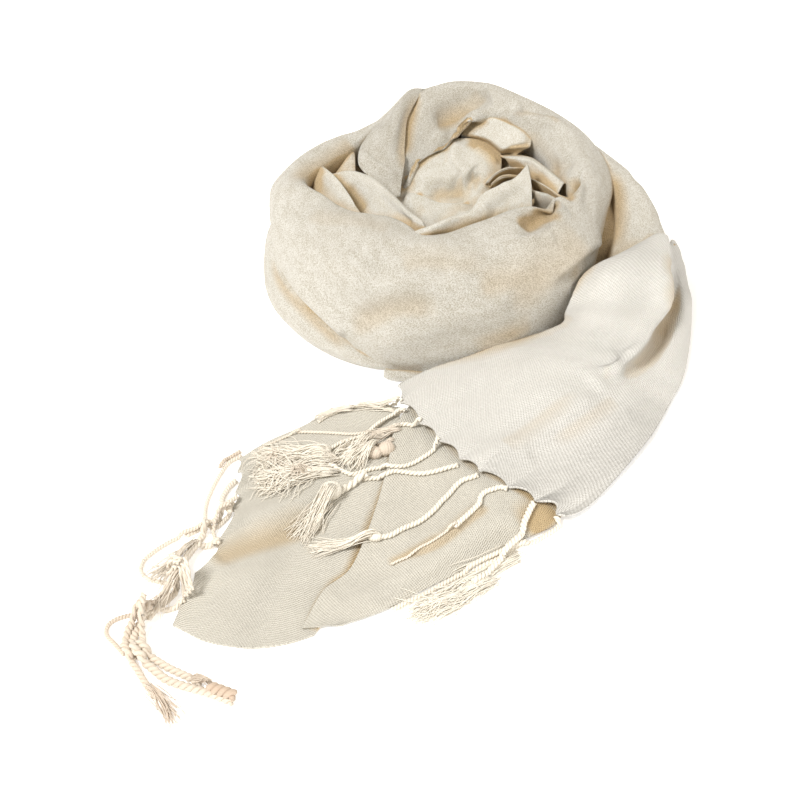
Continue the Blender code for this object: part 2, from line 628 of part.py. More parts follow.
heart_pleats = wall("heart_pleats", pleat_grid(HEART_PLEATS, 4, 13), thickness=SINGLE)
trim(heart_pleats, collar_roll, inner_roll)
dome = wall("dome", surface(DOME, 10, 8), thickness=SINGLE)
trim(dome, heart_pleats, collar_roll, inner_roll, leaf_mid, leaf_right, tall_lobe, coil)

# The tail and the two lower panels, each over its own core.
tail_top = wall("tail_top", surface(TAIL_TOP, 21, 10), flip=True)
trim(tail_top, outer_sweep, outer_turn, side_turn)
under_panel = wall("under_panel", surface(UNDER_PANEL, 12, 8), flip=True)
trim(under_panel, tail_top)
end_panel = wall("end_panel", surface(END_PANEL, 10, 10), flip=True)
trim(end_panel, under_panel)
small_roll = wall("small_roll", roll_grid(SMALL_ROLL, 5, 6), thickness=SINGLE)
trim(small_roll, tail_top, outer_turn)
tail_core = laid_core("tail_core", surface(TAIL_TOP, 12, 9)[1:11], CORE_CLEAR)
trim(tail_core, outer_sweep, outer_turn)
under_core = laid_core("under_core", surface(UNDER_PANEL, 10, 9)[1:-1, 1:], PANEL_CLEAR)
end_core = laid_core("end_core", surface(END_PANEL, 12, 12)[1:], PANEL_CLEAR)

# The fringe groups, each trimmed by the cloth it lies on and by the groups above it.
carriers = (end_panel, under_panel, tail_top)
laid = []
for label, line in FRINGES.items():
    group = fringe(label, line, carriers)
    trim(group, *carriers, *laid)
    laid.append(group)
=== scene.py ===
# %% [markdown]
# # A stole wound into a coil
# This lesson dresses a stole that is wound into a low coil, with both its fringed ends drawn
# out flat in front. The real thing is one long rectangle of soft cream cloth. It was gathered
# lengthwise in the hands and wound round itself, so what we see is a few broad turns, a nest
# of small folds in the middle, and the two ends with their twisted tassels.
# We could drop a long cloth on the table and simulate it, but a heap like this never falls the same way
# twice. So each stretch that shows is lofted through a few sections, and its creases are placed one by one.
# That keeps every fold where the real one has it.

# %% The frame
import math

import bpy
import numpy as np
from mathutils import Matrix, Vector
from mathutils.bvhtree import BVHTree


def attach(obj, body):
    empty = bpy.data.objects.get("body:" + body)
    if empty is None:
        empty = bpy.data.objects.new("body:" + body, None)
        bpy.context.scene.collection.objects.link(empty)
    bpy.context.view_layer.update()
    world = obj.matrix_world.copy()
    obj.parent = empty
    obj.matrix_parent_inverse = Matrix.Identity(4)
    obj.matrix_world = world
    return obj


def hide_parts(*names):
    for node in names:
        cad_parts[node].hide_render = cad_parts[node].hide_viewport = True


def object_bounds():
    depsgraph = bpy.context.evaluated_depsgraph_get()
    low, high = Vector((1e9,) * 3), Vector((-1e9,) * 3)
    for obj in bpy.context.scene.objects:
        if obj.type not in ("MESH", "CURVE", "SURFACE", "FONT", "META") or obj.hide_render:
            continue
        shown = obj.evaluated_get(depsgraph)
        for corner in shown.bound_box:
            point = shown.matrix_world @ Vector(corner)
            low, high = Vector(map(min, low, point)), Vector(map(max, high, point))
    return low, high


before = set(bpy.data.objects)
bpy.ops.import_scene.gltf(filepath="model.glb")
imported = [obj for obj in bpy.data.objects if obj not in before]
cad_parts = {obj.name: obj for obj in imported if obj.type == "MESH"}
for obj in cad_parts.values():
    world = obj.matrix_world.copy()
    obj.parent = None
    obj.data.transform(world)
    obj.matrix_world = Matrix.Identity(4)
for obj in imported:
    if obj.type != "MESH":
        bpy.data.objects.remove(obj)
cad_low, cad_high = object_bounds()
cad_size = [round((high - low) * 1000, 1) for low, high in zip(cad_low, cad_high)]
print("solid model:", len(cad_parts), "nodes,", cad_size, "mm")

# %% [markdown]
# ## Units
# All the tables below are in millimetres, because that is how one measures cloth with a rule.
# They are measured from a point on the table in front of the coil. The frame's own origin is
# the middle of the whole model, so every point is moved by that much on its way to Blender.

# %% Units
MM = 0.001
ORIGIN = np.array([11.25, -18.94, 0.0])  # the frame's origin, measured in the tables' own space
COIL_X = 22.0  # the axis that the coil is wound round
COIL_Y = 115.0


def to_frame(points):
    """Millimetres in the tables' space made into metres in the frame."""
    return (np.asarray(points, float) - ORIGIN) * MM


print("the coil's axis is at", to_frame((COIL_X, COIL_Y, 0)).round(3), "in the frame")

# %% [markdown]
# ## The camera
# The stole lies flat on a table, and we look down on it at 40 degrees from the front. A long
# lens keeps the near fringe and the far turn at nearly the same scale, as a shop's table
# picture does. The camera comes before everything else, so each later step can be looked at.

# %% The camera
VIEW_ELEVATION = math.radians(40.0)
VIEW_DISTANCE = 1.33  # metres
view_target = Vector(to_frame((0, 0, 0)))
camera_data = bpy.data.cameras.new("table_camera")
camera_data.lens = 100.0
camera_data.sensor_width = 36.0
camera = bpy.data.objects.new("table_camera", camera_data)
bpy.context.scene.collection.objects.link(camera)
view_from = Vector((0, -math.cos(VIEW_ELEVATION), math.sin(VIEW_ELEVATION)))
camera.location = view_target + view_from * VIEW_DISTANCE
camera.rotation_euler = (-view_from).to_track_quat("-Z", "Y").to_euler()
bpy.context.scene.camera = camera
print("camera at", [round(value, 3) for value in camera.location])

# %% [markdown]
# ## The light
# Cream cloth on a white table needs a soft light from all sides, with more of it from one, so
# that the folds still shade. The world gives the even part and its warmth, a "window" sun at
# the left gives the direction, and a weak, very soft "bounce" lifts the right. The Standard
# view and a little glow in the table top keep its white from turning grey.

# %% The table
TABLE_HALF = 4  # metres from its middle to its edge
table_white = bpy.data.materials.new("table_white")
table_white.use_nodes = True
table_finish = table_white.node_tree.nodes["Principled BSDF"].inputs
table_finish["Base Color"].default_value = (0.97, 0.97, 0.97, 1)
table_finish["Roughness"].default_value = 0.9
table_finish["Emission Color"].default_value = (1, 1, 1, 1)
table_finish["Emission Strength"].default_value = 0.35

table_mesh = bpy.data.meshes.new("table_top")
table_corners = [(x * TABLE_HALF, y * TABLE_HALF, 0) for x, y in ((-1, -1), (1, -1), (1, 1), (-1, 1))]
table_mesh.from_pydata(table_corners, [], [(0, 1, 2, 3)])
table_mesh.materials.append(table_white)
table_top = bpy.data.objects.new("table_top", table_mesh)
bpy.context.scene.collection.objects.link(table_top)
print("table:", [round(side, 1) for side in table_top.dimensions[:2]], "m")

# %% The light
world = bpy.data.worlds.new("studio")
bpy.context.scene.world = world
world.use_nodes = True
world.node_tree.nodes["Background"].inputs["Color"].default_value = (1.0, 0.94, 0.85, 1)
world.node_tree.nodes["Background"].inputs["Strength"].default_value = 0.70

LIGHTS = (
    # name, strength, softness in degrees, the way towards it
    ("window", 3.0, 16, (-0.45, -0.42, 0.79)),
    ("bounce", 0.75, 60, (0.70, -0.50, 0.45)),
)
for label, energy, softness, towards in LIGHTS:
    light_data = bpy.data.lights.new(label, "SUN")
    light_data.energy = energy
    light_data.angle = math.radians(softness)
    light_data.color = (1.0, 1.0, 1.0)
    light = bpy.data.objects.new(label, light_data)
    bpy.context.scene.collection.objects.link(light)
    light.rotation_euler = (-Vector(towards)).to_track_quat("-Z", "Y").to_euler()
bpy.context.scene.view_settings.view_transform = "Standard"
print("lights:", [row[0] for row in LIGHTS])

# %% [markdown]
# ## Lofting cloth through sections
# Each stretch of cloth is a grid of points. A few sections are drawn across it, and a smooth
# curve is run first through the points of each section and then from section to section. It
# is the same idea as a ship's lines. The curve goes through every point that we gave, so a
# point in a table is a point on the cloth. A surface patch could be bent to nearly the same
# shape, but its control points don't lie on it, and then one can't set a fold with a rule.

# %% Lofting
TINY = 1e-9  # keeps a division from failing where a length is zero


def unit(vectors):
    """The same directions, each of length 1."""
    return vectors / np.maximum(np.linalg.norm(vectors, axis=-1), TINY)[..., None]


def spline(points, count):
    """Evenly spaced samples of a smooth curve that goes through all the points."""
    points = np.asarray(points, float)
    before = 2 * points[:1] - points[1:2]
    after = 2 * points[-1:] - points[-2:-1]
    padded = np.concatenate([before, points, after])
    place = np.linspace(0, len(points) - 1, count)
    span = np.minimum(place.astype(int), len(points) - 2)
    t = (place - span).reshape((-1,) + (1,) * (points.ndim - 1))
    a, b, c, d = (padded[span + step] for step in range(4))
    line = 2 * b + (c - a) * t
    square = (2 * a - 5 * b + 4 * c - d) * t**2
    cube = (3 * b - 3 * c + d - a) * t**3
    return 0.5 * (line + square + cube)


def loft(sections, along, across):
    """A grid of points: first across each section, then from section to section."""
    crossed = spline(np.swapaxes(np.asarray(sections, float), 0, 1), across)
    return spline(np.swapaxes(crossed, 0, 1), along)


def turn(table, along, across):
    """A grid from a table of a turn of the coil: angle, then pairs of radius and height."""
    sections = [[(row[0], row[i], row[i + 1]) for i in range(1, len(row), 2)] for row in table]
    grid = loft(sections, along, across)
    angle = np.radians(grid[..., 0])
    x = COIL_X + grid[..., 1] * np.cos(angle)
    y = COIL_Y + grid[..., 1] * np.sin(angle)
    return np.stack([x, y, grid[..., 2]], axis=-1)


def roll(line, along, across):
    """Cloth rolled round a line of (x, y, z, radius), from underneath round the front to the top."""
    start = -75.0  # degrees, where 0 is straight out and 90 is up
    end = 150.0
    path = spline(line, along)
    ahead = unit(np.gradient(path[:, :2], axis=0))
    out = np.stack([ahead[:, 1], -ahead[:, 0]], axis=1)
    grid = np.empty((along, across, 3))
    for j, bend in enumerate(np.radians(np.linspace(start, end, across))):
        grid[:, j, :2] = path[:, :2] + out * (path[:, 3] * math.cos(bend))[:, None]
        grid[:, j, 2] = path[:, 2] + path[:, 3] * math.sin(bend)
    return grid


def facing(grid):
    """The unit normal at each point of a grid."""
    return unit(np.cross(np.gradient(grid, axis=0), np.gradient(grid, axis=1)))


def lengths(grid):
    """How far each point is along and across its sheet, in mm of cloth."""
    step_u = np.linalg.norm(np.diff(grid, axis=0), axis=-1).mean(axis=1)
    step_v = np.linalg.norm(np.diff(grid, axis=1), axis=-1)
    u = np.concatenate([[0], np.cumsum(step_u)])
    v = np.concatenate([np.zeros((len(grid), 1)), np.cumsum(step_v, axis=1)], axis=1)
    return np.broadcast_to(u[:, None], v.shape), v - v.mean()


arch = loft([((0, 0, 0), (0, 10, 0)), ((5, 0, 4), (5, 10, 4)), ((10, 0, 0), (10, 10, 0))], 5, 3)
print("an arch of three sections:", arch.shape[:2], "points,", round(lengths(arch)[0].max(), 1), "mm long")

# %% [markdown]
# ## Creases one by one, ripples by noise
# A crease is a row in a small table: what kind it is, how high or deep, how wide, and the places it runs
# through. Places are shares of the sheet, along and across, from 0 to 1. A trough or ridge is soft on both
# sides. A tuck is a fold that lies over its neighbour, so it swells up to its line and then drops. Each
# crease fades out at both its ends. A fourth kind, "shade", moves nothing. It is painted shade: it tints the
# cloth ochre beside a line, sharp on one side and soft on the other, just where a fold lets the light
# through. Its rows are the glows and warm patches in the tables below.
# A sculpting brush would make the same marks, but a row can be read, measured and mended.

# %% Creases
LINE_STEPS = 60  # points that a crease's line is sampled at
END_FADE = 0.22  # share of its length over which each end fades out
CREASE_REACH = 4.0  # widths away, beyond which a crease does nothing
TUCK_SHARPNESS = 9  # how sudden the drop beside a tuck is
TUCK_GROOVE = 0.35  # depth of the groove in front of a tuck, as a share of it
GROOVE_NARROW = 2.2  # how many times narrower that groove is
SHADE_SHARP = 2.5  # how many times sharper a shade's near side is


def blend(a, b, c, d, fi, fj):
    """A mix of four corner values: from a to b and from c to d by fi, and between them by fj."""
    return (a * (1 - fi) + b * fi) * (1 - fj) + (c * (1 - fi) + d * fi) * fj


def on_grid(grid, places):
    """Points of a grid at the given shares along and across it."""
    places = np.clip(np.asarray(places, float), 0, 1)
    rows, columns = grid.shape[:2]
    i = np.minimum(places[:, 0] * (rows - 1), rows - 1.001)
    j = np.minimum(places[:, 1] * (columns - 1), columns - 1.001)
    i0 = i.astype(int)
    j0 = j.astype(int)
    fi = (i - i0)[:, None]
    fj = (j - j0)[:, None]
    return blend(grid[i0, j0], grid[i0 + 1, j0], grid[i0, j0 + 1], grid[i0 + 1, j0 + 1], fi, fj)


def beside_line(points, path, up):
    """How far each point is from a line, on which side, and how far it is along it, from 0 to 1."""
    gap = points[:, None, :] - path[None, :, :]
    nearest = np.einsum("ijk,ijk->ij", gap, gap).argmin(axis=1)
    tangent = unit(np.gradient(path, axis=0))[nearest]
    offset = points - path[nearest]
    away = np.linalg.norm(offset, axis=1)
    offset -= tangent * np.einsum("ij,ij->i", offset, tangent)[:, None]
    side = np.einsum("ij,ij->i", np.cross(tangent, offset), up)
    return away, side >= 0, nearest / (len(path) - 1)


def crease_shape(kind, away, beyond, width):
    """The outline of one crease across its line: from -1 to 1 times its height or depth."""
    if kind == "tuck":
        signed = np.where(beyond, away, -away) / width
        drop = 1 / (1 + np.exp(-signed * TUCK_SHARPNESS))
        swell = drop * np.exp(-np.maximum(signed, 0) ** 2)
        return swell - TUCK_GROOVE * (1 - drop) * np.exp(-(signed * GROOVE_NARROW) ** 2)
    if kind == "shade":
        signed = np.where(beyond, away, -SHADE_SHARP * away) / width
        return np.exp(-signed**2)
    bell = np.exp(-(away / width) ** 2)
    return bell if kind == "ridge" else -bell


def crease_height(grid, creases, up):
    """Millimetres that the creases raise or lower each point, and how much painted warm shade they add."""
    height = np.zeros(grid.shape[:2])
    warmth = np.zeros(grid.shape[:2])
    flat = grid.reshape(-1, 3)
    for kind, depth, width, line in creases:
        path = on_grid(grid, spline(line, LINE_STEPS))
        low = path.min(axis=0) - CREASE_REACH * width
        high = path.max(axis=0) + CREASE_REACH * width
        near = np.flatnonzero(((flat > low) & (flat < high)).all(axis=1))
        if not len(near):
            continue
        away, beyond, share = beside_line(flat[near], path, up.reshape(-1, 3)[near])
        fade = np.clip(share / END_FADE, 0, 1) * np.clip((1 - share) / END_FADE, 0, 1)
        fade = fade * fade * (3 - 2 * fade)
        amount = depth * crease_shape(kind, away, beyond, width) * fade
        # A shade row adds painted warm shade, not relief.
        if kind == "shade":
            warmth.ravel()[near] = np.maximum(warmth.ravel()[near], amount)
        else:
            height.ravel()[near] += amount
    return height, warmth


bell = crease_shape("ridge", np.array([0.0, 1.0, 2.0]), True, 1.0)
print("a ridge at its line, one width away and two:", bell.round(2))

# %% [markdown]
# ## Ripples by noise
# Between its creases real cloth is never quite smooth. A low ripple of two sizes goes over
# each sheet: long ones as broad as two fingers, and short ones between them. They are drawn
# out along the cloth, because it was gathered lengthwise. They are measured in the sheet's own
# millimetres, so that they follow it round every fold.

# %% Ripples
RIPPLES = (
    # length, width, height, all in mm
    (70.0, 22.0, 0.9),
    (19.0, 9.0, 0.28),
)
NOISE_PERIOD = 64


def soft_noise(x, y, seed):
    """Smooth hills and dips between -1 and 1 over a plane, one hill a unit."""
    lattice = np.random.RandomState(seed).uniform(-1, 1, (NOISE_PERIOD, NOISE_PERIOD))
    x = np.asarray(x) % NOISE_PERIOD
    y = np.asarray(y) % NOISE_PERIOD
    i = x.astype(int)
    j = y.astype(int)
    fx = x - i
    fy = y - j
    fx = fx * fx * fx * (fx * (fx * 6 - 15) + 10)
    fy = fy * fy * fy * (fy * (fy * 6 - 15) + 10)
    i1 = (i + 1) % NOISE_PERIOD
    j1 = (j + 1) % NOISE_PERIOD
    i = i % NOISE_PERIOD
    j = j % NOISE_PERIOD
    return blend(lattice[i, j], lattice[i1, j], lattice[i, j1], lattice[i1, j1], fx, fy)


def ripple_height(grid, seed):
    """The low natural ripples of a sheet, in mm. Each seed gives other ripples."""
    u, v = lengths(grid)
    height = np.zeros(grid.shape[:2])
    for k, (length, width, rise) in enumerate(RIPPLES):
        place_u = u / length + 7.3 * seed
        place_v = v / width + 3.1 * k + seed
        height += rise * soft_noise(place_u, place_v, 11 + seed + k)
    return height


print("ripples:", [f"{length:.0f} x {width:.0f} mm, {rise} mm high" for length, width, rise in RIPPLES])

# %% [markdown]
# ## The weave
# The ends of the stole show a fine twill: ribs a little over a millimetre apart, on the
# diagonal. The coil shows the same cloth brushed, with a soft mottled pattern that is
# woven tone on tone. Both are far too fine to model, so they are bump and a slight change of
# colour. The weave must follow the cloth round every fold, so it reads the sheet's own
# millimetres, which each sheet carries as a UV map called "cloth".
# Two materials use the twill and two the brushed cloth, so each is a node group of its own.

# %% Node helpers
def new_group(name, inputs, outputs):
    """A shader node group with named float, vector or colour sockets."""
    kinds = {"float": "NodeSocketFloat", "vector": "NodeSocketVector", "colour": "NodeSocketColor"}
    group = bpy.data.node_groups.new(name, "ShaderNodeTree")
    for label, kind, value in inputs:
        socket = group.interface.new_socket(name=label, in_out="INPUT", socket_type=kinds[kind])
        if value is not None:
            socket.default_value = value
    for label, kind in outputs:
        group.interface.new_socket(name=label, in_out="OUTPUT", socket_type=kinds[kind])
    return group, group.nodes.new("NodeGroupInput"), group.nodes.new("NodeGroupOutput")


def node(tree, kind, settings=None, **inputs):
    """A node with its settings. Its inputs are values or links, by name or as i0, i1 and so on."""
    made = tree.nodes.new(kind)
    for key, value in (settings or {}).items():
        setattr(made, key, value)
    for key, value in inputs.items():
        numbered = key[0] == "i" and key[1:].isdigit()
        socket = made.inputs[int(key[1:]) if numbered else key]
        if isinstance(value, bpy.types.NodeSocket):
            tree.links.new(value, socket)
        else:
            socket.default_value = value
    return made


def maths(tree, operation, a, b=0.0):
    """The result of one sum on two values or links."""
    return node(tree, "ShaderNodeMath", {"operation": operation}, i0=a, i1=b).outputs[0]


print("node groups so far:", len(bpy.data.node_groups))

# %% The twill group
FULL_TURN = 6.2832  # radians: one rib in each pitch
FLOAT_TURN = 5.4  # radians: a little less than one float in each pitch along a rib
RIB_RISE = 0.30
FLOAT_RISE = 0.22
UNEVEN_RISE = 0.9
LEAST_RISE = 0.05

twill, twill_in, twill_out = new_group(
    "twill_weave",
    [("Cloth", "vector", None), ("Pitch", "float", 1.3), ("Slant", "float", 1.0), ("Waver", "float", 0.25)],
    [("Height", "float"), ("Shade", "float")],
)
on_cloth = twill_in.outputs["Cloth"]
pitch = twill_in.outputs["Pitch"]
wander = node(twill, "ShaderNodeTexNoise", None, Vector=on_cloth, Scale=0.16, Detail=2.0)
uneven = node(twill, "ShaderNodeTexNoise", None, Vector=on_cloth, Scale=0.5, Detail=3.0, Roughness=0.7)
place = node(twill, "ShaderNodeSeparateXYZ", None, Vector=on_cloth)
# Ribs run on a slant, and wander a little from their line.
slanted = maths(twill, "MULTIPLY", place.outputs["X"], twill_in.outputs["Slant"])
across_rib = maths(twill, "DIVIDE", maths(twill, "ADD", place.outputs["Y"], slanted), pitch)
wavering = maths(twill, "MULTIPLY", wander.outputs["Fac"], twill_in.outputs["Waver"])
across_rib = maths(twill, "ADD", across_rib, wavering)
rib = maths(twill, "SINE", maths(twill, "MULTIPLY", across_rib, FULL_TURN))
# Each rib is made of short slanting floats of yarn.
along_cloth = maths(twill, "DIVIDE", place.outputs["X"], pitch)
along_rib = maths(twill, "SUBTRACT", along_cloth, maths(twill, "MULTIPLY", across_rib, 0.5))
floats = maths(twill, "SINE", maths(twill, "MULTIPLY", along_rib, FLOAT_TURN))
rib = maths(twill, "MULTIPLY", rib, RIB_RISE)
floats = maths(twill, "MULTIPLY", floats, FLOAT_RISE)
rough = maths(twill, "MULTIPLY", uneven.outputs["Fac"], UNEVEN_RISE)
woven = maths(twill, "ADD", maths(twill, "ADD", rib, floats), rough)
woven = maths(twill, "ADD", woven, LEAST_RISE)
twill.links.new(woven, twill_out.inputs["Height"])
twill.links.new(woven, twill_out.inputs["Shade"])
print("twill group:", len(twill.nodes), "nodes")

# %% [markdown]
# ## The brushed pattern
# On the coil the cloth has a short nap. Its pattern is only a play of light: small soft
# patches, a few millimetres across and drawn out along the cloth, where the nap lies one way
# or the other. One noise makes the patches, a finer one makes the nap, and a third leaves a
# few faint wandering lines, as where the nap was pressed.

# %% The nap group
PATCH_SHARE = 0.14
GRAIN_SHARE = 0.86
PRESSED_SHARE = 0.05
PRESSED_SHARPNESS = 14.0
NAP_CONTRAST = 10.0
NAP_MIDDLE = 0.55  # how light the nap is where its pattern is at its middle value

nap, nap_in, nap_out = new_group(
    "brushed_nap",
    [("Cloth", "vector", None), ("Patch", "float", 6.0), ("Grain", "float", 1.4)],
    [("Height", "float"), ("Shade", "float")],
)
drawn = node(nap, "ShaderNodeMapping", None, Vector=nap_in.outputs["Cloth"])
drawn.inputs["Rotation"].default_value = (0, 0, math.radians(28))
drawn.inputs["Scale"].default_value = (0.55, 1.0, 1.0)
per_patch = maths(nap, "DIVIDE", 1.0, nap_in.outputs["Patch"])
per_grain = maths(nap, "DIVIDE", 1.0, nap_in.outputs["Grain"])
patches = node(nap, "ShaderNodeTexNoise", None, Vector=drawn.outputs[0], Scale=per_patch,
               Detail=3.0, Roughness=0.6)
grain = node(nap, "ShaderNodeTexNoise", None, Vector=drawn.outputs[0], Scale=per_grain,
             Detail=3.0, Roughness=0.75)
# A pressed line runs where a slow noise crosses its middle value.
pressed = node(nap, "ShaderNodeTexNoise", None, Vector=nap_in.outputs["Cloth"], Detail=1.0, Scale=0.34)
off_line = maths(nap, "ABSOLUTE", maths(nap, "SUBTRACT", pressed.outputs["Fac"], 0.5))
on_line = maths(nap, "SUBTRACT", 1.0, maths(nap, "MULTIPLY", off_line, PRESSED_SHARPNESS))
on_line = node(nap, "ShaderNodeClamp", None, Value=on_line)
coarse = maths(nap, "MULTIPLY", patches.outputs["Fac"], PATCH_SHARE)
fine = maths(nap, "MULTIPLY", grain.outputs["Fac"], GRAIN_SHARE)
line = maths(nap, "MULTIPLY", on_line.outputs[0], PRESSED_SHARE)
brushed = maths(nap, "ADD", maths(nap, "ADD", coarse, fine), line)
nap.links.new(brushed, nap_out.inputs["Height"])
contrast = maths(nap, "MULTIPLY", maths(nap, "SUBTRACT", brushed, 0.5), NAP_CONTRAST)
nap.links.new(maths(nap, "ADD", contrast, NAP_MIDDLE), nap_out.inputs["Shade"])
print("nap group:", len(nap.nodes), "nodes")

# %% [markdown]
# ## Painted warm shade in the folds
# Thin cream cloth lets some light through, and what comes out deep in a fold has turned ochre. This warm
# shade is painted into the colour. Each sheet carries a value called "fold" at every point, from 0 in the
# open to 1 where the cloth is shut in. It is measured further down, once all sheets exist. This group paints
# it as shade: it multiplies the cloth's own colour with a warm one, the more the deeper.

# %% The fold group
# Painted shade: fold values past this tint the colour ochre.
NO_SHADE_UP_TO = 0.08  # a fold value up to this gets no ochre

painted_fold_shade, fold_in, fold_out = new_group(
    "painted_fold_shade",
    [("Colour", "colour", None), ("Ochre", "colour", (0.85, 0.67, 0.43, 1)), ("Amount", "float", 1.5)],
    [("Colour", "colour")],
)
fold_depth = node(painted_fold_shade, "ShaderNodeAttribute", {"attribute_name": "fold"})
past_unshaded = maths(painted_fold_shade, "SUBTRACT", fold_depth.outputs["Fac"], NO_SHADE_UP_TO)
depth_share = maths(painted_fold_shade, "MULTIPLY", past_unshaded, fold_in.outputs["Amount"])
clamped = node(painted_fold_shade, "ShaderNodeClamp", None, Value=depth_share)
tinted = node(painted_fold_shade, "ShaderNodeMix", {"data_type": "RGBA", "blend_type": "MULTIPLY"},
              i0=clamped.outputs[0], i6=fold_in.outputs["Colour"], i7=fold_in.outputs["Ochre"])
painted_fold_shade.links.new(tinted.outputs[2], fold_out.inputs["Colour"])
print("fold group:", len(painted_fold_shade.nodes), "nodes")

# %% [markdown]
# ## Four finishes of one cloth
# The coil is brushed, and its heart is the same cloth painted lighter, for the light that comes through its
# thin folds there. The two ends show the bare twill: the upper end a lighter copy, the lower end a darker,
# duller one. Each finish is a light and a dark cream, mixed by its weave group, and the weave also gives the
# bump. A slow drift of shade keeps a broad face from looking printed. The sheen is the nap's fine fibres,
# which catch light at a glancing angle, as velvet does.

# %% The cloth materials
WEAVE_SHARE = 0.75  # of the mix between light and dark; the slow drift has the rest
DRIFT_SHARE = 0.25


def cloth_material(name, light, dark, pattern, pattern_values, depth, sheen):
    """A cream cloth: a pattern group for its shade and bump, with painted warm shade in the folds."""
    material = bpy.data.materials.new(name)
    material.use_nodes = True
    tree = material.node_tree
    shader = tree.nodes["Principled BSDF"]
    flat = node(tree, "ShaderNodeUVMap", {"uv_map": "cloth"})
    weave = node(tree, "ShaderNodeGroup", {"node_tree": pattern}, Cloth=flat.outputs[0])
    for key, value in pattern_values.items():
        weave.inputs[key].default_value = value
    drift = node(tree, "ShaderNodeTexNoise", None, Vector=flat.outputs[0], Scale=0.03, Detail=2.0)
    shade = maths(tree, "ADD", maths(tree, "MULTIPLY", weave.outputs["Shade"], WEAVE_SHARE),
                  maths(tree, "MULTIPLY", drift.outputs["Fac"], DRIFT_SHARE))
    colour = node(tree, "ShaderNodeMix", {"data_type": "RGBA"}, i0=shade, i6=(*dark, 1), i7=(*light, 1))
    # Painted shade: the fold group tints the colour ochre in the folds.
    warm = node(tree, "ShaderNodeGroup", {"node_tree": painted_fold_shade}, Colour=colour.outputs[2])
    bump = node(tree, "ShaderNodeBump", None, Height=weave.outputs["Height"], Strength=1.0,
                Distance=depth * MM)
    tree.links.new(warm.outputs["Colour"], shader.inputs["Base Color"])
    tree.links.new(bump.outputs["Normal"], shader.inputs["Normal"])
    shader.inputs["Roughness"].default_value = 0.62
    shader.inputs["Specular IOR Level"].default_value = 0.35
    shader.inputs["Sheen Weight"].default_value = sheen
    shader.inputs["Sheen Roughness"].default_value = 0.45
    shader.inputs["Sheen Tint"].default_value = (1.0, 0.96, 0.88, 1)
    return material


NAP_SIZES = {"Patch": 6.0, "Grain": 0.45}  # mm
brushed_cloth = cloth_material("brushed_cloth", (0.79, 0.77, 0.71), (0.45, 0.40, 0.30), nap,
                               NAP_SIZES, 1.6, 0.20)
# Painted light: light comes through the small thin folds in the heart, so the same cloth is painted lighter
# there.
painted_light_heart_cloth = cloth_material("painted_light_heart_cloth", (0.88, 0.86, 0.795), (0.60, 0.55, 0.43), nap,
                             NAP_SIZES, 1.6, 0.20)
twill_cloth = cloth_material("twill_cloth", (0.765, 0.75, 0.71), (0.55, 0.53, 0.485), twill,
                             {"Pitch": 1.25, "Slant": 0.2, "Waver": 1.0}, 0.6, 0.15)
# The lower end is given a darker, duller copy of the twill.
dull_twill = cloth_material("dull_twill", (0.69, 0.665, 0.595), (0.53, 0.495, 0.415), twill,
                            {"Pitch": 1.25, "Slant": 0.35, "Waver": 1.0}, 0.55, 0.12)
print("cloth materials:", brushed_cloth.name, painted_light_heart_cloth.name, twill_cloth.name, dull_twill.name)

# %% [markdown]
# ## From a grid to a sheet of cloth
# A sheet is the grid with its creases and ripples raised from it, cut into four-sided faces,
# and given a real thickness by the Solidify modifier, which grows inward so that the sheet's
# face stays where the sections put it. It rides on the stole's one body and stands for its
# solid in the frame.

# %% The sheet's mesh
def grid_faces(rows, columns):
    """The four-sided faces between the points of a grid."""
    corner = (np.arange(rows - 1)[:, None] * columns + np.arange(columns - 1)).reshape(-1, 1)
    return corner + np.array([0, 1, columns + 1, columns])


def lay_cloth_map(mesh, flat):
    """Gives a mesh its own millimetres of cloth as a UV map, for the weave to follow."""
    corners = np.empty(len(mesh.loops), int)
    mesh.loops.foreach_get("vertex_index", corners)
    mesh.uv_layers.new(name="cloth").data.foreach_set("uv", flat[corners].ravel())


def keep_value(mesh, label, values):
    """Keeps a number at each point of a mesh, for a material to read."""
    mesh.attributes.new(label, "FLOAT", "POINT").data.foreach_set("value", values)


def stand_in(name, mesh, finish, nodes):
    """A mesh as a piece with one finish, which rides on the stole and stands for its solids."""
    mesh.materials.append(finish)
    mesh.shade_smooth()
    piece = bpy.data.objects.new(name, mesh)
    bpy.context.scene.collection.objects.link(piece)
    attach(piece, "root")
    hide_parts(*nodes)
    return piece


def sheet_mesh(name, grid, flip):
    """A grid as a mesh, with its map of the cloth."""
    faces = grid_faces(*grid.shape[:2])
    faces = faces[:, ::-1] if flip else faces
    mesh = bpy.data.meshes.new(name)
    mesh.from_pydata(to_frame(grid.reshape(-1, 3)).tolist(), [], faces.tolist())
    u, v = lengths(grid)
    lay_cloth_map(mesh, np.stack([u.ravel(), v.ravel()], axis=1))
    return mesh


print("a grid of 3 x 4 points has", len(grid_faces(3, 4)), "faces")

# %% [markdown]
# ## An edge that tassels pull on
# Where tassels were twisted out of the cloth, each pulls on the edge, so the edge is drawn
# back in a shallow scallop from one tassel to the next, and lifts a little. We slide the last
# few centimetres of the grid back along the cloth, which keeps its weave true.

# %% The scalloped edge
PULLED = 42  # mm of cloth behind the edge that the tassels draw on
EDGE_LIFT = 0.28  # mm that the edge lifts for each mm that it is drawn back


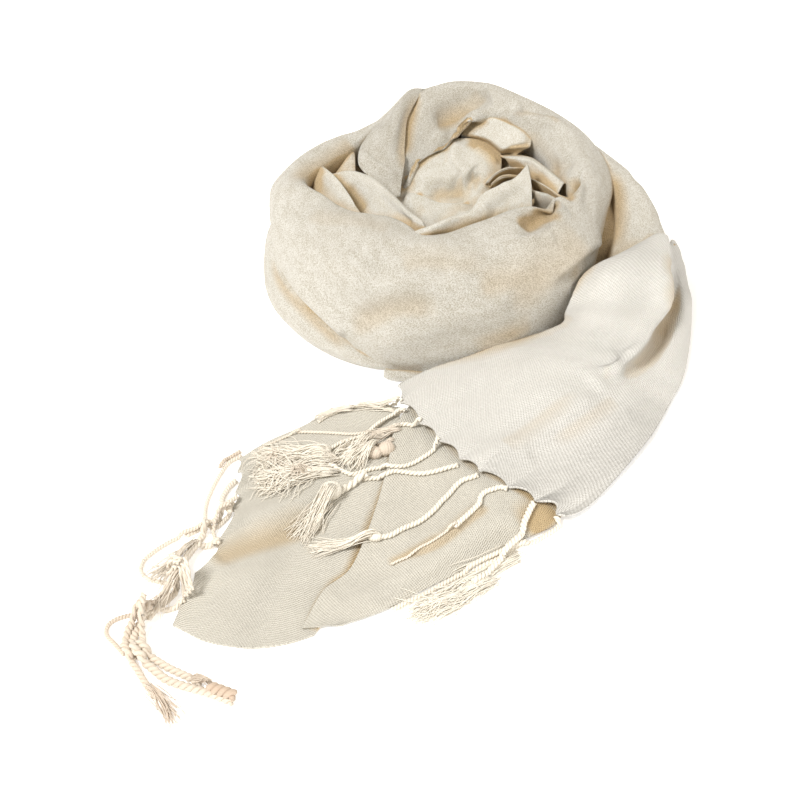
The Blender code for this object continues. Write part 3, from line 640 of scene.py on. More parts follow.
def scallop(grid, roots):
    """Draws the sheet's last edge back between the tassels that pull on it, and lets it lift."""
    columns = grid.shape[1]
    share = np.linspace(0, 1, columns)
    bite = np.zeros(columns)
    for left, right, depth in roots:
        t = np.clip((share - left) / (right - left), 0, 1)
        bite = np.maximum(bite, depth * np.sin(np.pi * t) ** 0.75)
    run = lengths(grid)[0][:, 0]
    near_edge = np.clip((run - run[-1] + PULLED) / PULLED, 0, 1) ** 1.6
    shaped = np.empty_like(grid)
    for j in range(columns):
        there = run - bite[j] * near_edge
        for k in range(3):
            shaped[:, j, k] = np.interp(there, run, grid[:, j, k])
        shaped[:, j, 2] += EDGE_LIFT * bite[j] * near_edge**3
    return shaped


print("a tassel that draws the edge back by 5 mm lifts it by", round(5 * EDGE_LIFT, 1), "mm")

# %% Making a sheet
# Painted shade: a trough also tints itself ochre by its own depth, up to a limit.
TROUGH_SHADE_DEPTH = 60.0  # mm of trough that would glow fully
TROUGH_SHADE_MOST = 0.08  # the most that a trough's own depth adds to its glow
sheets = []


def cloth(name, grid, nodes, finish, creases=(), flip=False, thick=1.2, seed=1, ripple=1.0, roots=()):
    """A sheet of cloth from its grid and its creases, standing for its solids."""
    if roots:
        grid = scallop(grid, roots)
    out = facing(grid) * (1 if flip else -1)
    relief, warmth = crease_height(grid, creases, out)
    # hollow is this sheet's painted shade: its shade rows and the depth of its troughs.
    hollow = warmth + np.clip(-relief / TROUGH_SHADE_DEPTH, 0, TROUGH_SHADE_MOST)
    relief = relief + ripple * ripple_height(grid, seed)
    grid = grid + out * relief[..., None]
    piece = stand_in(name, sheet_mesh(name, grid, flip), finish, nodes)
    body = piece.modifiers.new("thickness", "SOLIDIFY")
    body.thickness = thick * MM
    body.offset = -1.0
    sheets.append((piece, grid, out, hollow))
    square = np.cross(np.gradient(grid, axis=0), np.gradient(grid, axis=1))
    area = np.linalg.norm(square, axis=-1).sum() / 100
    print(f"{name}: {grid.shape[0]} x {grid.shape[1]} points, {area:.0f} sq cm of cloth")
    return piece


print("sheets so far:", len(sheets))

# %% [markdown]
# ## The turns of the coil
# The tall lobe is a strap of cloth that comes up the back wall, goes over the rim and narrows
# to a tip in the middle. The outermost turn is the broad band in front. Its sections go round
# the coil: the foot, the belly, the shoulder, the crest and the lip that turns down inside.
# The turn ends under the tall lobe, where its lip has become a broad inner face with a hem.

# %% The tall lobe
# Each row is a section across the strap, from the foot of the back wall to the tip.
TALL_LOBE = (
    # left            left of ridge      right of ridge     right
    ((-33, 192, 1), (-17, 201, 1), (5, 209, 1), (19, 212, 1)),
    ((-31, 195, 22), (-16, 204, 22), (4, 212, 22), (17, 216, 22)),
    ((-27, 193, 46), (-14, 201, 46), (3, 208.5, 46), (14, 213, 46)),
    ((-27, 186, 66), (-14, 194, 68), (2, 202, 70), (14, 207, 70)),
    ((-18, 172, 83), (-6, 182, 89), (6, 191, 94), (17, 197, 92)),
    ((-16, 162, 89), (-4, 173, 96), (6, 184, 102), (16, 191, 99)),
    ((-18, 154, 89), (-8, 162, 93), (2, 173, 98), (12, 183, 97)),
    ((-23, 147, 87), (-12, 153, 89), (-1, 161, 91), (6, 169, 90)),
    ((-26, 141, 82), (-14, 145, 83), (-4, 150, 83), (4, 156, 81)),
    ((-25, 133, 79), (-15, 136, 79), (-6, 140, 77), (3, 144, 74)),
    ((-17, 124, 76), (-11, 128, 74), (-5, 131, 71), (1, 134, 68)),
    ((-6, 115, 68), (-4, 117, 66), (-2, 119, 65), (0, 121, 64)),
)
LOBE_CREASES = (
    # kind, height, width, places
    ("tuck", 1.4, 5, ((0.9, 0.94), (0.86, 0.59), (0.79, 0.29), (0.67, 0.02))),  # faint crease
    ("trough", 1.6, 6, ((0.56, 0.92), (0.72, 0.88), (0.8, 0.9))),  # shade beside the crevice
    ("ridge", 1.2, 8, ((0.52, 0.14), (0.66, 0.31), (0.77, 0.49))),  # soft change of the face
    ("trough", 1, 6, ((0.77, 0.14), (0.87, 0.27), (0.93, 0.45), (0.97, 0.73))),  # low hollow near the tip
    ("shade", 0.5, 5, ((0.89, 1), (0.76, 0.96), (0.66, 1), (0.5, 1))),  # glow at the crevice
    ("trough", 1.6, 6, ((0.02, 0.3), (0.15, 0.4), (0.35, 0.45))),  # back of the strap, fold
    ("ridge", 1.4, 6, ((0.05, 0.6), (0.2, 0.66), (0.38, 0.7))),  # back of the strap, swell
)
tall_lobe = cloth("tall_lobe_cloth", loft(TALL_LOBE, 180, 50), ["tall_lobe"], brushed_cloth,
                  LOBE_CREASES, flip=True, seed=3)

# %% [markdown]
# ### The outermost turn
# The broad band in front is one turn of cloth. It could be one ring swept round an axis, but a
# real turn sags where nothing holds it, so each section has its own radii and heights. Angles
# go past 360 where the turn overlaps itself.

# %% The outermost turn's sections
OUTER_TURN = (
    # angle foot_r, z  belly_r, z  shoulder_r, z  crest_r, z  lip_r, z
    (112, 74, 58, 78, 68, 74, 81, 67, 91, 59, 86),
    (125, 72, 58, 75, 68, 69, 82, 62, 90, 55, 85),
    (140, 76, 58, 79, 67, 74, 79, 67, 86, 57, 83),
    (152, 84, 58, 88, 66, 83, 77, 75, 84, 63, 79),
    (165, 92, 57, 97, 64, 92, 75, 83, 82, 71, 77),
    (176, 98, 53, 103, 60, 100, 72, 90, 80, 79, 76),
    (184, 99, 38, 103, 50, 101, 70, 88, 81, 79, 77),
    (192, 99, 31, 103, 44, 99, 66, 77, 80, 71, 75),
    (201, 98, 30, 102, 42, 96, 66, 71, 79, 65, 73),
    (212, 97, 28, 101, 40, 94, 66, 67, 80, 61, 73),
    (222, 96, 26, 100, 38, 92, 67, 60, 81, 54, 73),
    (232, 96, 20, 99, 34, 91, 67, 55, 82, 49, 73),
    (242, 96, 11, 98, 28, 90, 67, 55, 83, 49, 73),
    (252, 95, 2, 97, 24, 89, 67, 58, 82, 52, 72),
    (262, 93, 0.8, 96, 24, 88, 67, 63, 80, 57, 71),
    (274, 92, 0.8, 95, 24, 87, 67, 61, 80, 55, 71),
    (290, 93, 0.8, 97, 24, 89, 66, 57, 82, 51, 73),
    (305, 96, 0.8, 101, 26, 92, 66, 60, 85, 53, 75),
    (318, 99, 0.8, 105, 32, 97, 66, 66, 88, 58, 77),
    (330, 100, 12, 106, 38, 101, 66, 76, 88, 68, 79),
    (342, 99, 34, 104, 48, 102, 67, 87, 88, 81, 82),
    (355, 100, 44, 105, 56, 105, 68, 91, 87, 80, 79),
    (370, 104, 50, 110, 58, 112, 70, 92, 88, 75, 76),
    (385, 104, 54, 110, 62, 111, 77, 91, 93, 75, 76),
    (400, 98, 56, 106, 64, 106, 81, 89, 96, 71, 86),
    (415, 96, 57, 103, 65, 103, 83, 86, 99, 69, 91),
    (428, 97, 58, 103, 66, 103, 84, 86, 100, 61, 88),
    (440, 95, 58, 101, 66, 100, 84, 81, 100, 49, 76),
    (450, 87, 58, 92, 66, 90, 84, 76, 99, 42, 76),
    (460, 79, 58, 83, 67, 79, 84, 69, 98, 38, 75),
    (470, 71, 58, 74, 67, 70, 83, 60, 93, 35, 72),
    (482, 66, 58, 69, 66, 63, 79, 48, 82, 31, 64),
    (492, 63, 56, 65, 64, 59, 74, 46, 77, 30, 58),
)
# Round most of the coil the lip goes on down inside. From 420 degrees on it is a free hem.
HEM_FROM = 420
LIP_OUT = 6  # mm that the lip goes back out while it goes down inside
LIP_DOWN = 26
HEM_TURN = 0.6  # mm that a free hem turns in and down
outer_sections = []
for row in OUTER_TURN:
    angle, lip_r, lip_z = row[0], row[9], row[10]
    hidden = (lip_r + LIP_OUT, lip_z - LIP_DOWN)
    hem = (lip_r - HEM_TURN, lip_z - HEM_TURN)
    outer_sections.append(row + (hidden if angle < HEM_FROM else hem))
print(len(OUTER_TURN), "sections, from", OUTER_TURN[0][0], "to", OUTER_TURN[-1][0], "degrees")

# %% [markdown]
# ### Its creases
# A gathered band dents under its own weight. A dent has a lip, so a tuck and a trough go
# together, and a low ridge beside them keeps the band from looking carved.

# %% The outermost turn's creases
TURN_CREASES = (
    # kind, height, width, places
    ("tuck", 6, 6, ((0.61, 0.59), (0.58, 0.52), (0.53, 0.49))),  # dent under the rim, front right: its lip
    ("trough", 10, 7, ((0.61, 0.68), (0.59, 0.57), (0.545, 0.52))),  # its hollow
    ("ridge", 1.8, 8, ((0.525, 0.51), (0.555, 0.47), (0.575, 0.48))),  # swell below it
    ("trough", 10, 4.4, ((0.67, 0.64), (0.635, 0.71), (0.615, 0.62))),  # pocket in the right rim
    ("ridge", 2, 3.5, ((0.665, 0.78), (0.65, 0.63), (0.62, 0.57))),  # rim of the pocket
    ("trough", 4, 7, ((0.69, 0.82), (0.69, 0.77), (0.68, 0.64))),  # soft hollow inside the right lip
    ("ridge", 1.8, 6, ((0.705, 0.76), (0.685, 0.62), (0.685, 0.53))),  # swell above it
    # fold where the right side turns under
    ("tuck", 4, 10, ((0.545, 0.33), (0.58, 0.35), (0.605, 0.34), (0.635, 0.23))),
    ("trough", 0.9, 2.6, ((0.555, 0.3), (0.585, 0.33), (0.61, 0.3))),  # fine creases below it
    ("trough", 0.8, 2.6, ((0.55, 0.34), (0.575, 0.35), (0.595, 0.35))),  # another of them
    ("trough", 1, 3.5, ((0.57, 0.26), (0.585, 0.27), (0.62, 0.22))),  # and a wider one under the belly
    ("trough", 1.6, 7, ((0.665, 0.6), (0.65, 0.55), (0.62, 0.48))),  # soft vertical at right
    ("trough", 8.5, 9, ((0.805, 0.64), (0.82, 0.67), (0.875, 0.73))),  # dent in the back band
    ("tuck", 4, 7, ((0.795, 0.75), (0.84, 0.73), (0.885, 0.75))),  # its lip
    ("tuck", 4, 5, ((0.73, 0.58), (0.74, 0.65), (0.755, 0.69), (0.77, 0.78))),  # crease in the back band
    ("trough", 3.4, 5, ((0.74, 0.51), (0.755, 0.65), (0.765, 0.7))),  # hollow along it
    ("ridge", 1.4, 5, ((0.78, 0.84), (0.74, 0.68), (0.72, 0.64))),  # swell below it
    ("trough", 3, 11, ((0.48, 0.4), (0.515, 0.42), (0.535, 0.38), (0.555, 0.37))),  # soft hollow, lower right
    ("trough", 3, 10, ((0.365, 0.23), (0.42, 0.32), (0.47, 0.33))),  # low hollow in front
    ("ridge", 2.4, 10, ((0.38, 0.13), (0.41, 0.22), (0.49, 0.31), (0.52, 0.32))),  # swell at the foot
    ("trough", 2.6, 9, ((0.35, 0.41), (0.425, 0.47), (0.485, 0.45))),  # hollow under the rim
    ("trough", 1.2, 5, ((0.43, 0.66), (0.415, 0.52), (0.41, 0.47))),  # short hollow at the rim
    # swell along the left of the rim
    ("ridge", 2.4, 10, ((0.23, 0.51), (0.28, 0.53), (0.34, 0.53), (0.395, 0.53), (0.45, 0.56),
                        (0.495, 0.54))),
    ("trough", 2, 12, ((0.3, 0.36), (0.365, 0.3), (0.39, 0.25))),  # long low hollow in the belly
    ("ridge", 2.4, 10, ((0.255, 0.31), (0.33, 0.14), (0.36, 0.11))),  # swell down the left side
    ("shade", 0.35, 8, ((0.54, 0.51), (0.59, 0.56), (0.61, 0.64))),  # glow in the dent
    ("shade", 0.35, 4, ((0.77, 0.78), (0.74, 0.65), (0.725, 0.62))),  # glow along the back band's crease
    ("shade", 0.12, 8, ((0.89, 0.74), (0.845, 0.73), (0.81, 0.76))),  # glow in the back band's dent
    ("shade", 0.5, 8, ((0.2, 0.65), (0.135, 0.79), (0.095, 0.78), (0.075, 0.76))),  # glow under the left rim
    ("shade", 0.3, 26, ((0.505, 0.29), (0.56, 0.37), (0.61, 0.38))),  # warmer towards the right
    ("shade", 0.2, 14, ((0.41, 0.44), (0.45, 0.48), (0.515, 0.42))),  # warmer under the rim
    # rolled hem
    ("ridge", 0.9, 2.4, ((0.975, 0.75), (0.92, 0.8), (0.845, 0.78), (0.815, 0.87), (0.81, 0.77))),
    ("trough", 4, 4, ((0.9, 0.58), (0.93, 0.66), (0.96, 0.71))),  # crevice by the lobe
    ("shade", 0.8, 5, ((0.9, 0.58), (0.93, 0.66), (0.965, 0.71))),  # glow in that crevice
    ("shade", 0.3, 4, ((0.66, 0.66), (0.645, 0.68), (0.63, 0.65), (0.615, 0.58))),  # glow in the pocket
    ("shade", 0.3, 15, ((0.485, 0.37), (0.52, 0.37), (0.56, 0.35))),  # warm patch at the right
    ("shade", 0.28, 13, ((0.355, 0.16), (0.39, 0.26), (0.42, 0.31), (0.475, 0.31))),  # low warm streak
    ("shade", 0.2, 12, ((0.24, 0.48), (0.31, 0.54), (0.4, 0.54))),  # warmth on the left of the rim
    ("trough", 2, 8, ((0.8, 0.15), (0.84, 0.3), (0.89, 0.42))),  # back wall, rising folds
    ("trough", 1.6, 7, ((0.86, 0.06), (0.9, 0.2), (0.95, 0.36))),  # back wall, a steeper one
    ("ridge", 1.6, 8, ((0.77, 0.2), (0.82, 0.36), (0.88, 0.5))),  # back wall, swell between
    ("trough", 1.6, 8, ((0.03, 0.45), (0.09, 0.32), (0.16, 0.26))),  # left back wall
    ("ridge", 1.3, 7, ((0.05, 0.55), (0.11, 0.45), (0.19, 0.4))),  # left back wall, swell
)
outer_turn = cloth("outer_turn_cloth", turn(outer_sections, 385, 92), ["outer_turn"], brushed_cloth,
                   TURN_CREASES, flip=True, thick=1.6, seed=1)

# %% [markdown]
# ### The turns below it
# Three shorter stretches carry it: one from behind round the left to the front, one in the
# crevice at the right, and the broad sweep behind and at the right.

# %% The sections of the turns below
LOWER_TURN = (
    # angle foot_r, z  belly_r, z  shoulder_r, z  top_r, z
    (100, 82, 0.8, 87, 22, 82, 46, 78, 56),
    (112, 80, 0.8, 85, 22, 79, 46, 75, 56),
    (125, 78, 0.8, 84, 22, 77, 46, 73, 56),
    (140, 82, 0.8, 88, 22, 81, 46, 77, 56),
    (152, 89, 0.8, 96, 22, 89, 46, 84, 56),
    (165, 96, 0.8, 103, 22, 97, 46, 92, 58),
    (176, 101, 0.8, 108, 20, 104, 45, 97, 57),
    (186, 103, 0.8, 109, 17, 105, 36, 95, 46),
    (196, 104, 0.8, 109, 14, 105, 30, 94, 40),
    (207, 102, 0.8, 108, 13, 104, 28, 92, 38),
    (218, 100, 0.8, 106, 12, 102, 25, 90, 36),
    (228, 98, 0.8, 103, 11, 100, 21, 88, 32),
    (239, 96, 0.8, 100, 8, 97, 14, 88, 22),
    (250, 93, 0.8, 96, 6, 94, 9, 88, 14),
    (262, 89, 0.8, 91, 5, 90, 7, 86, 10),
)
SIDE_TURN = (
    # angle foot_r, z  belly_r, z  shoulder_r, z  top_r, z
    (330, 90, 0.8, 95, 9, 95, 15, 92, 18),
    (340, 93, 0.8, 101, 13, 103, 24, 97, 34),
    (348, 98, 0.8, 110, 20, 112, 38, 103, 50),
    (356, 102, 0.8, 114, 24, 117, 44, 106, 58),
    (364, 104, 0.8, 115, 26, 117, 48, 106, 62),
    (374, 104, 0.8, 114, 26, 114, 52, 104, 66),
    (386, 102, 0.8, 110, 26, 109, 56, 102, 68),
)
OUTER_SWEEP = (
    # angle foot_r, z  belly_r, z  shoulder_r, z  crest_r, z  inner_r, z  tucked_r, z
    (106, 87, 0.8, 92, 22, 89, 46, 88, 58, 88, 66, 86, 68),
    (90, 92, 0.8, 98, 22, 97, 46, 96, 60, 95, 67, 92, 68),
    (75, 101, 0.8, 107, 22, 108, 48, 106, 63, 104, 71, 99, 68),
    (55, 103, 0.8, 109, 22, 110, 48, 108, 64, 106, 72, 100, 68),
    (38, 107, 0.8, 114, 22, 116, 50, 113, 66, 108, 73, 103, 66),
    (22, 112, 0.8, 121, 24, 122, 52, 119, 68, 111, 73, 106, 62),
    (11, 119, 0.8, 129, 24, 129, 50, 123, 70, 112, 68, 108, 56),
    (0, 129, 0.8, 139, 22, 139, 46, 130, 66, 114, 60, 109, 48),
    (-10, 139, 0.8, 149, 20, 147, 42, 135, 58, 114, 52, 108, 40),
    (-17, 145, 0.8, 154, 13, 148, 30, 136, 48, 114, 46, 107, 34),
    (-24, 149, 0.8, 155, 6, 149, 15, 137, 28, 113, 32, 105, 24),
)
print("lower, side and sweep:", len(LOWER_TURN), len(SIDE_TURN), len(OUTER_SWEEP), "sections")

# %% The turns below
SWEEP_CREASES = (
    # kind, height, width, places
    ("ridge", 1.6, 6, ((0.57, 0.73), (0.65, 0.76), (0.83, 0.75))),  # edge of the crevice
    ("trough", 1.2, 5, ((0.6, 0.67), (0.68, 0.68), (0.76, 0.68))),  # beside it
    ("trough", 2, 3.5, ((0.85, 0.7), (0.82, 0.65), (0.76, 0.48))),  # crease at the tail
    ("ridge", 1, 8, ((0.63, 0.59), (0.69, 0.56), (0.75, 0.54))),  # sweep face
    ("shade", 0.35, 14, ((0.86, 0.83), (0.72, 0.78), (0.59, 0.76))),  # warmth low on the sweep
    ("trough", 2.4, 9, ((0.05, 0.7), (0.18, 0.48), (0.3, 0.28))),  # back, first long fold
    ("ridge", 1.6, 8, ((0.12, 0.74), (0.27, 0.6), (0.42, 0.52))),  # back, swell
    ("trough", 2.2, 9, ((0.3, 0.6), (0.45, 0.38), (0.6, 0.2))),  # right back fold
    ("trough", 2, 9, ((0.45, 0.52), (0.6, 0.34), (0.78, 0.18))),  # right fold
    ("ridge", 1.5, 8, ((0.38, 0.5), (0.52, 0.3), (0.66, 0.14))),  # right swell
)
LOWER_CREASES = (
    # kind, height, width, places
    ("shade", 0.5, 5, ((0.86, 0.63), (0.72, 0.7), (0.51, 0.74))),  # glow under the outer turn
    ("trough", 2.2, 8, ((0.05, 0.8), (0.2, 0.55), (0.35, 0.35))),  # back, long fold
    ("ridge", 1.6, 8, ((0.1, 0.5), (0.25, 0.3), (0.4, 0.2))),  # back, swell under it
    ("trough", 1.8, 7, ((0.3, 0.85), (0.45, 0.6), (0.55, 0.35))),  # left back fold
    ("trough", 0.8, 6, ((0.62, 0.72), (0.76, 0.5), (0.9, 0.4))),  # faint one in front
)
SIDE_CREASES = (
    # kind, height, width, places
    ("trough", 1.6, 4, ((0.2, 0.3), (0.45, 0.6), (0.7, 0.85))),  # upright fold in the crevice
)
lower_turn = cloth("lower_turn_cloth", turn(LOWER_TURN, 200, 44), ["lower_turn"], brushed_cloth,
                   LOWER_CREASES, flip=True, thick=1.6, seed=5)
side_turn = cloth("side_turn_cloth", turn(SIDE_TURN, 80, 40), ["side_turn"], brushed_cloth,
                  SIDE_CREASES, flip=True, thick=1.6, seed=6)
outer_sweep = cloth("outer_sweep_cloth", turn(OUTER_SWEEP, 180, 64), ["outer_sweep"], brushed_cloth,
                    SWEEP_CREASES, thick=1.6, seed=7)

# %% [markdown]
# ## The folds in the heart of the coil
# Four leaves stand round the middle. Each is a corner of a turn that pokes up. Between them
# lies a rounded pouch, and at the right the cloth is squeezed into straps, pleats and a small
# swirl. Single cloth, so it is thinner than the walls, which are gathered and doubled.

# %% The leaves' sections
# Each row of a leaf is a section, from its hidden foot up to its rim and over it.
LEAF_LEFT = (
    ((-52, 134, 58), (-51, 132, 75), (-50, 131, 78), (-48, 130, 80)),
    ((-56, 124, 56), (-54, 124, 71), (-48, 123, 77), (-42, 121, 81)),
    ((-55, 114, 54), (-53, 114, 69), (-44, 112, 76), (-36, 110, 81)),
    ((-50, 102, 54), (-47, 101, 68), (-38, 99, 75), (-30, 97, 80)),
    ((-40, 88, 54), (-38, 88, 67), (-31, 86, 73), (-25, 84, 78)),
)
LEAF_MID = (
    ((-46, 129, 62), (-45, 126, 77), (-43, 122, 74), (-42, 118, 68), (-41, 115, 60)),
    ((-33, 131, 60), (-34, 125, 80), (-33, 114, 74), (-32, 104, 65), (-30, 100, 56)),
    ((-21, 129, 60), (-24, 122, 80), (-22, 105, 75), (-22, 90, 66), (-21, 86, 56)),
    ((-8, 122, 56), (-15, 116, 79), (-13, 98, 77), (-12, 83, 69), (-11, 79, 56)),
    ((3, 107, 55), (-4, 101, 78), (-4, 88, 80), (-3, 78, 73), (-3, 75, 58)),
    ((11, 91, 56), (5, 84, 79), (4, 76, 82), (6, 70, 76), (6, 67, 60)),
    ((20, 79, 60), (14, 72, 79), (14, 66, 82), (15, 63, 77), (15, 61, 60)),
)
LEAF_SMALL = (
    ((-34, 151, 60), (-32, 149, 77), (-30, 148, 80), (-28, 147, 79)),
    ((-41, 144, 57), (-38, 142, 72), (-33, 141, 77), (-28, 139, 77)),
    ((-45, 137, 54), (-42, 135, 69), (-35, 134, 73), (-28, 132, 73)),
    ((-46, 131, 52), (-43, 130, 62), (-36, 129, 64), (-28, 128, 64)),
)
LEAF_RIGHT = (
    ((11, 72, 66), (8, 61, 80), (11, 57, 80), (14, 58, 72)),
    ((25, 77, 64), (20, 66, 82), (22, 62, 80), (24, 64, 70)),
    ((36, 83, 62), (31, 73, 83), (34, 69, 80), (36, 67, 70)),
    ((45, 88, 60), (40, 75, 84), (43, 71, 81), (46, 72, 70)),
    ((53, 94, 60), (45, 82, 86), (51, 77, 82), (53, 75, 72)),
    ((59, 101, 60), (51, 91, 87), (59, 85, 82), (60, 79, 74)),
    ((67, 110, 60), (61, 98, 88), (66, 90, 83), (67, 80, 75)),
    ((75, 115, 62), (70, 105, 89), (74, 95, 84), (74, 85, 76)),
    ((83, 119, 64), (78, 115, 91), (80, 101, 86), (80, 88, 78)),
)
print("four leaves of", [len(leaf) for leaf in (LEAF_LEFT, LEAF_MID, LEAF_SMALL, LEAF_RIGHT)], "sections")

# %% The leaves
LEAF_LEFT_CREASES = (
    # kind, height, width, places
    ("ridge", 1.2, 4, ((0.07, 0.79), (0.76, 0.87), (0.97, 0.95))),  # right rim
    ("trough", 1.6, 6, ((0.22, 0.44), (0.48, 0.44), (0.7, 0.46))),  # left shade
    ("shade", 0.8, 6, ((0, 1), (0.15, 0.46), (0.54, 0.26))),  # glow at its left edge
)
LEAF_MID_CREASES = (
    # kind, height, width, places
    ("trough", 3, 6, ((0.15, 0.49), (0.25, 0.57), (0.35, 0.63))),  # hollow under the rim
    ("ridge", 1.2, 5, ((0.08, 0.32), (0.34, 0.3), (0.54, 0.38), (0.87, 0.62))),  # rim
    ("trough", 2.4, 2.6, ((0.48, 0.43), (0.74, 0.6), (0.87, 0.71))),  # second edge
    ("shade", 0.6, 7, ((0, 0.35), (0.08, 0.54), (0.38, 0.7))),  # glow in its hollow
)
LEAF_RIGHT_CREASES = (
    # kind, height, width, places
    ("tuck", 1.4, 4, ((0.4, 0.51), (0.14, 0.45), (0.05, 0.58))),  # lower fold
    ("trough", 1, 5, ((0.75, 0.34), (0.76, 0.58), (0.79, 0.79))),  # soft change of the face
    ("trough", 1, 5, ((0.59, 0.36), (0.58, 0.58), (0.64, 0.81))),  # and another
    ("ridge", 1.6, 6, ((0.5, 0.49), (0.63, 0.53), (0.89, 0.43))),  # swell of the face
)
leaf_left = cloth("leaf_left_cloth", loft(LEAF_LEFT, 60, 40), ["leaf_left"], painted_light_heart_cloth,
                  LEAF_LEFT_CREASES, flip=True, seed=8)
leaf_mid = cloth("leaf_mid_cloth", loft(LEAF_MID, 120, 64), ["leaf_mid"], painted_light_heart_cloth,
                 LEAF_MID_CREASES, seed=9)
leaf_small = cloth("leaf_small_cloth", loft(LEAF_SMALL, 40, 36), ["leaf_small"], painted_light_heart_cloth,
                   flip=True, seed=10)
leaf_right = cloth("leaf_right_cloth", loft(LEAF_RIGHT, 130, 54), ["leaf_right"], painted_light_heart_cloth,
                   LEAF_RIGHT_CREASES, seed=11)

# %% [markdown]
# ### The dome
# The rounded pouch in the middle is the end of a turn, pushed in. A soft round shape needs
# few sections, and its ripple is stronger because nothing stretches it.

# %% The dome
# Each row is a section from the back of the pouch to its front.
DOME = (
    ((-3, 150, 60), (-3, 142, 59), (-3, 128, 57), (-1, 113, 56), (8, 93, 58)),
    ((10, 158, 69), (12, 146, 66), (13, 131, 59), (16, 114, 57), (20, 92, 61)),
    ((24, 164, 74), (26, 152, 72), (27, 136, 63), (29, 115, 57), (32, 89, 63)),
    ((38, 168, 76), (40, 157, 75), (41, 141, 67), (42, 120, 59), (44, 96, 63)),
    ((52, 167, 75), (53, 156, 73), (53, 143, 68), (53, 127, 61), (52, 106, 62)),
    ((64, 160, 71), (64, 152, 68), (63, 142, 63), (62, 130, 58), (60, 114, 58)),
)
DOME_CREASES = (
    # kind, height, width, places
    ("tuck", 2.6, 4, ((1, 0.29), (0.8, 0.23), (0.73, 0.18))),  # shade at the right
    ("shade", 0.7, 12, ((0.65, 0.08), (0.77, 0.2), (1, 0.31))),  # shade behind the crease
    ("shade", 0.7, 7, ((0.23, 0.06), (0.11, 0.16), (0.02, 0.47))),  # glow at the crevice
    ("tuck", 4.4, 9, ((0.55, 0.01), (0.47, 0.32), (0.57, 0.52), (0.64, 0.58))),  # crease down the middle
    ("trough", 4, 6, ((0.22, 0.55), (0.46, 0.58), (0.68, 0.72))),  # hollow below it
    ("ridge", 3, 7, ((0.14, 0.38), (0.4, 0.45), (0.51, 0.54))),  # swell above the hollow
    ("tuck", 6, 8, ((0.69, 0.79), (0.3, 0.65), (0.07, 0.45))),  # front fold
    ("trough", 3, 2.4, ((0.62, 0.62), (0.64, 0.57), (0.8, 0.54))),  # first small pleat
    ("trough", 2.6, 2.2, ((0.68, 0.65), (0.71, 0.61), (0.87, 0.58))),  # second small pleat
    ("shade", 0.3, 6, ((0.12, 0.99), (0.47, 0.81), (0.59, 0.82), (0.9, 0.72))),  # glow at its foot
    ("trough", 1.8, 4, ((0.33, 0.48), (0.42, 0.56), (0.62, 0.6))),  # dimple in front
    ("ridge", 3, 6, ((0.07, 0.32), (0.14, 0.2), (0.39, 0.09))),  # swell at the left
)
dome = cloth("dome_cloth", loft(DOME, 112, 96), ["dome"], painted_light_heart_cloth, DOME_CREASES, seed=12, ripple=1.6)

# %% [markdown]
# ### Straps, pleats and the swirl
# At the right of the heart two narrow straps are rolled over, and they end in tight pleats. A
# pleat is drawn as it lies, valley by valley, since a crease raised from a smooth sheet could
# never be as deep as it is wide.

# %% The two straps
# Each row is a section: tucked behind, top edge, face, lower edge, tucked under.
COLLAR_STRAP = (
    ((49, 189, 85), (46, 179, 87), (43, 175, 82), (39, 171, 77), (39, 174, 70)),
    ((54, 188, 84), (53, 175, 89), (51, 172, 84), (48, 165, 80), (49, 172, 71)),
    ((63, 184, 84), (61, 170, 90), (59, 164, 85), (56, 160, 80), (57, 166, 71)),
    ((71, 176, 84), (70, 162, 90), (67, 156, 85), (64, 150, 80), (64, 157, 71)),
    ((79, 169, 82), (77, 158, 88), (75, 149, 86), (70, 149, 81), (69, 154, 73)),
    ((84, 166, 76), (83, 158, 83), (82, 151, 82), (77, 150, 78), (71, 150, 74)),
)
INNER_STRAP = (
    ((63, 155, 72), (65, 147, 76), (66, 146, 75), (68, 146, 72), (69, 150, 66)),
    ((73, 151, 75), (73, 140, 80), (74, 137, 79), (76, 137, 75), (76, 140, 68)),
    ((83, 146, 76), (81, 133, 83), (81, 130, 81), (80, 130, 76), (81, 133, 68)),
    ((90, 137, 76), (88, 123, 84), (87, 120, 81), (86, 119, 76), (86, 123, 69)),
    ((96, 126, 77), (94, 114, 84), (92, 110, 81), (91, 110, 77), (90, 115, 70)),
    ((102, 114, 78), (100, 107, 83), (97, 102, 81), (95, 100, 78), (94, 106, 72)),
)
COLLAR_CREASES = (
    # kind, height, width, places
    ("shade", 0.5, 6, ((0.09, 0.1), (0.04, 0.37), (0.01, 0.9))),  # glow beside the hem
    ("shade", 0.3, 3, ((0.75, 0.8), (0.87, 0.63), (1, 0.51))),  # glow over the lower fold
    ("tuck", 1.4, 3, ((1, 0.46), (0.91, 0.58), (0.7, 0.81))),  # lower fold
)
INNER_CREASES = (
    # kind, height, width, places
    ("shade", 0.55, 6, ((0.27, 0.67), (0.82, 0.73), (1, 0.67))),  # glow low on the strap
)
collar_roll = cloth("collar_strap_cloth", loft(COLLAR_STRAP, 80, 60), ["collar_roll"], painted_light_heart_cloth,
                    COLLAR_CREASES, seed=13)
inner_roll = cloth("inner_strap_cloth", loft(INNER_STRAP, 80, 50), ["inner_roll"], painted_light_heart_cloth,
                   INNER_CREASES, seed=14, ripple=0.6)

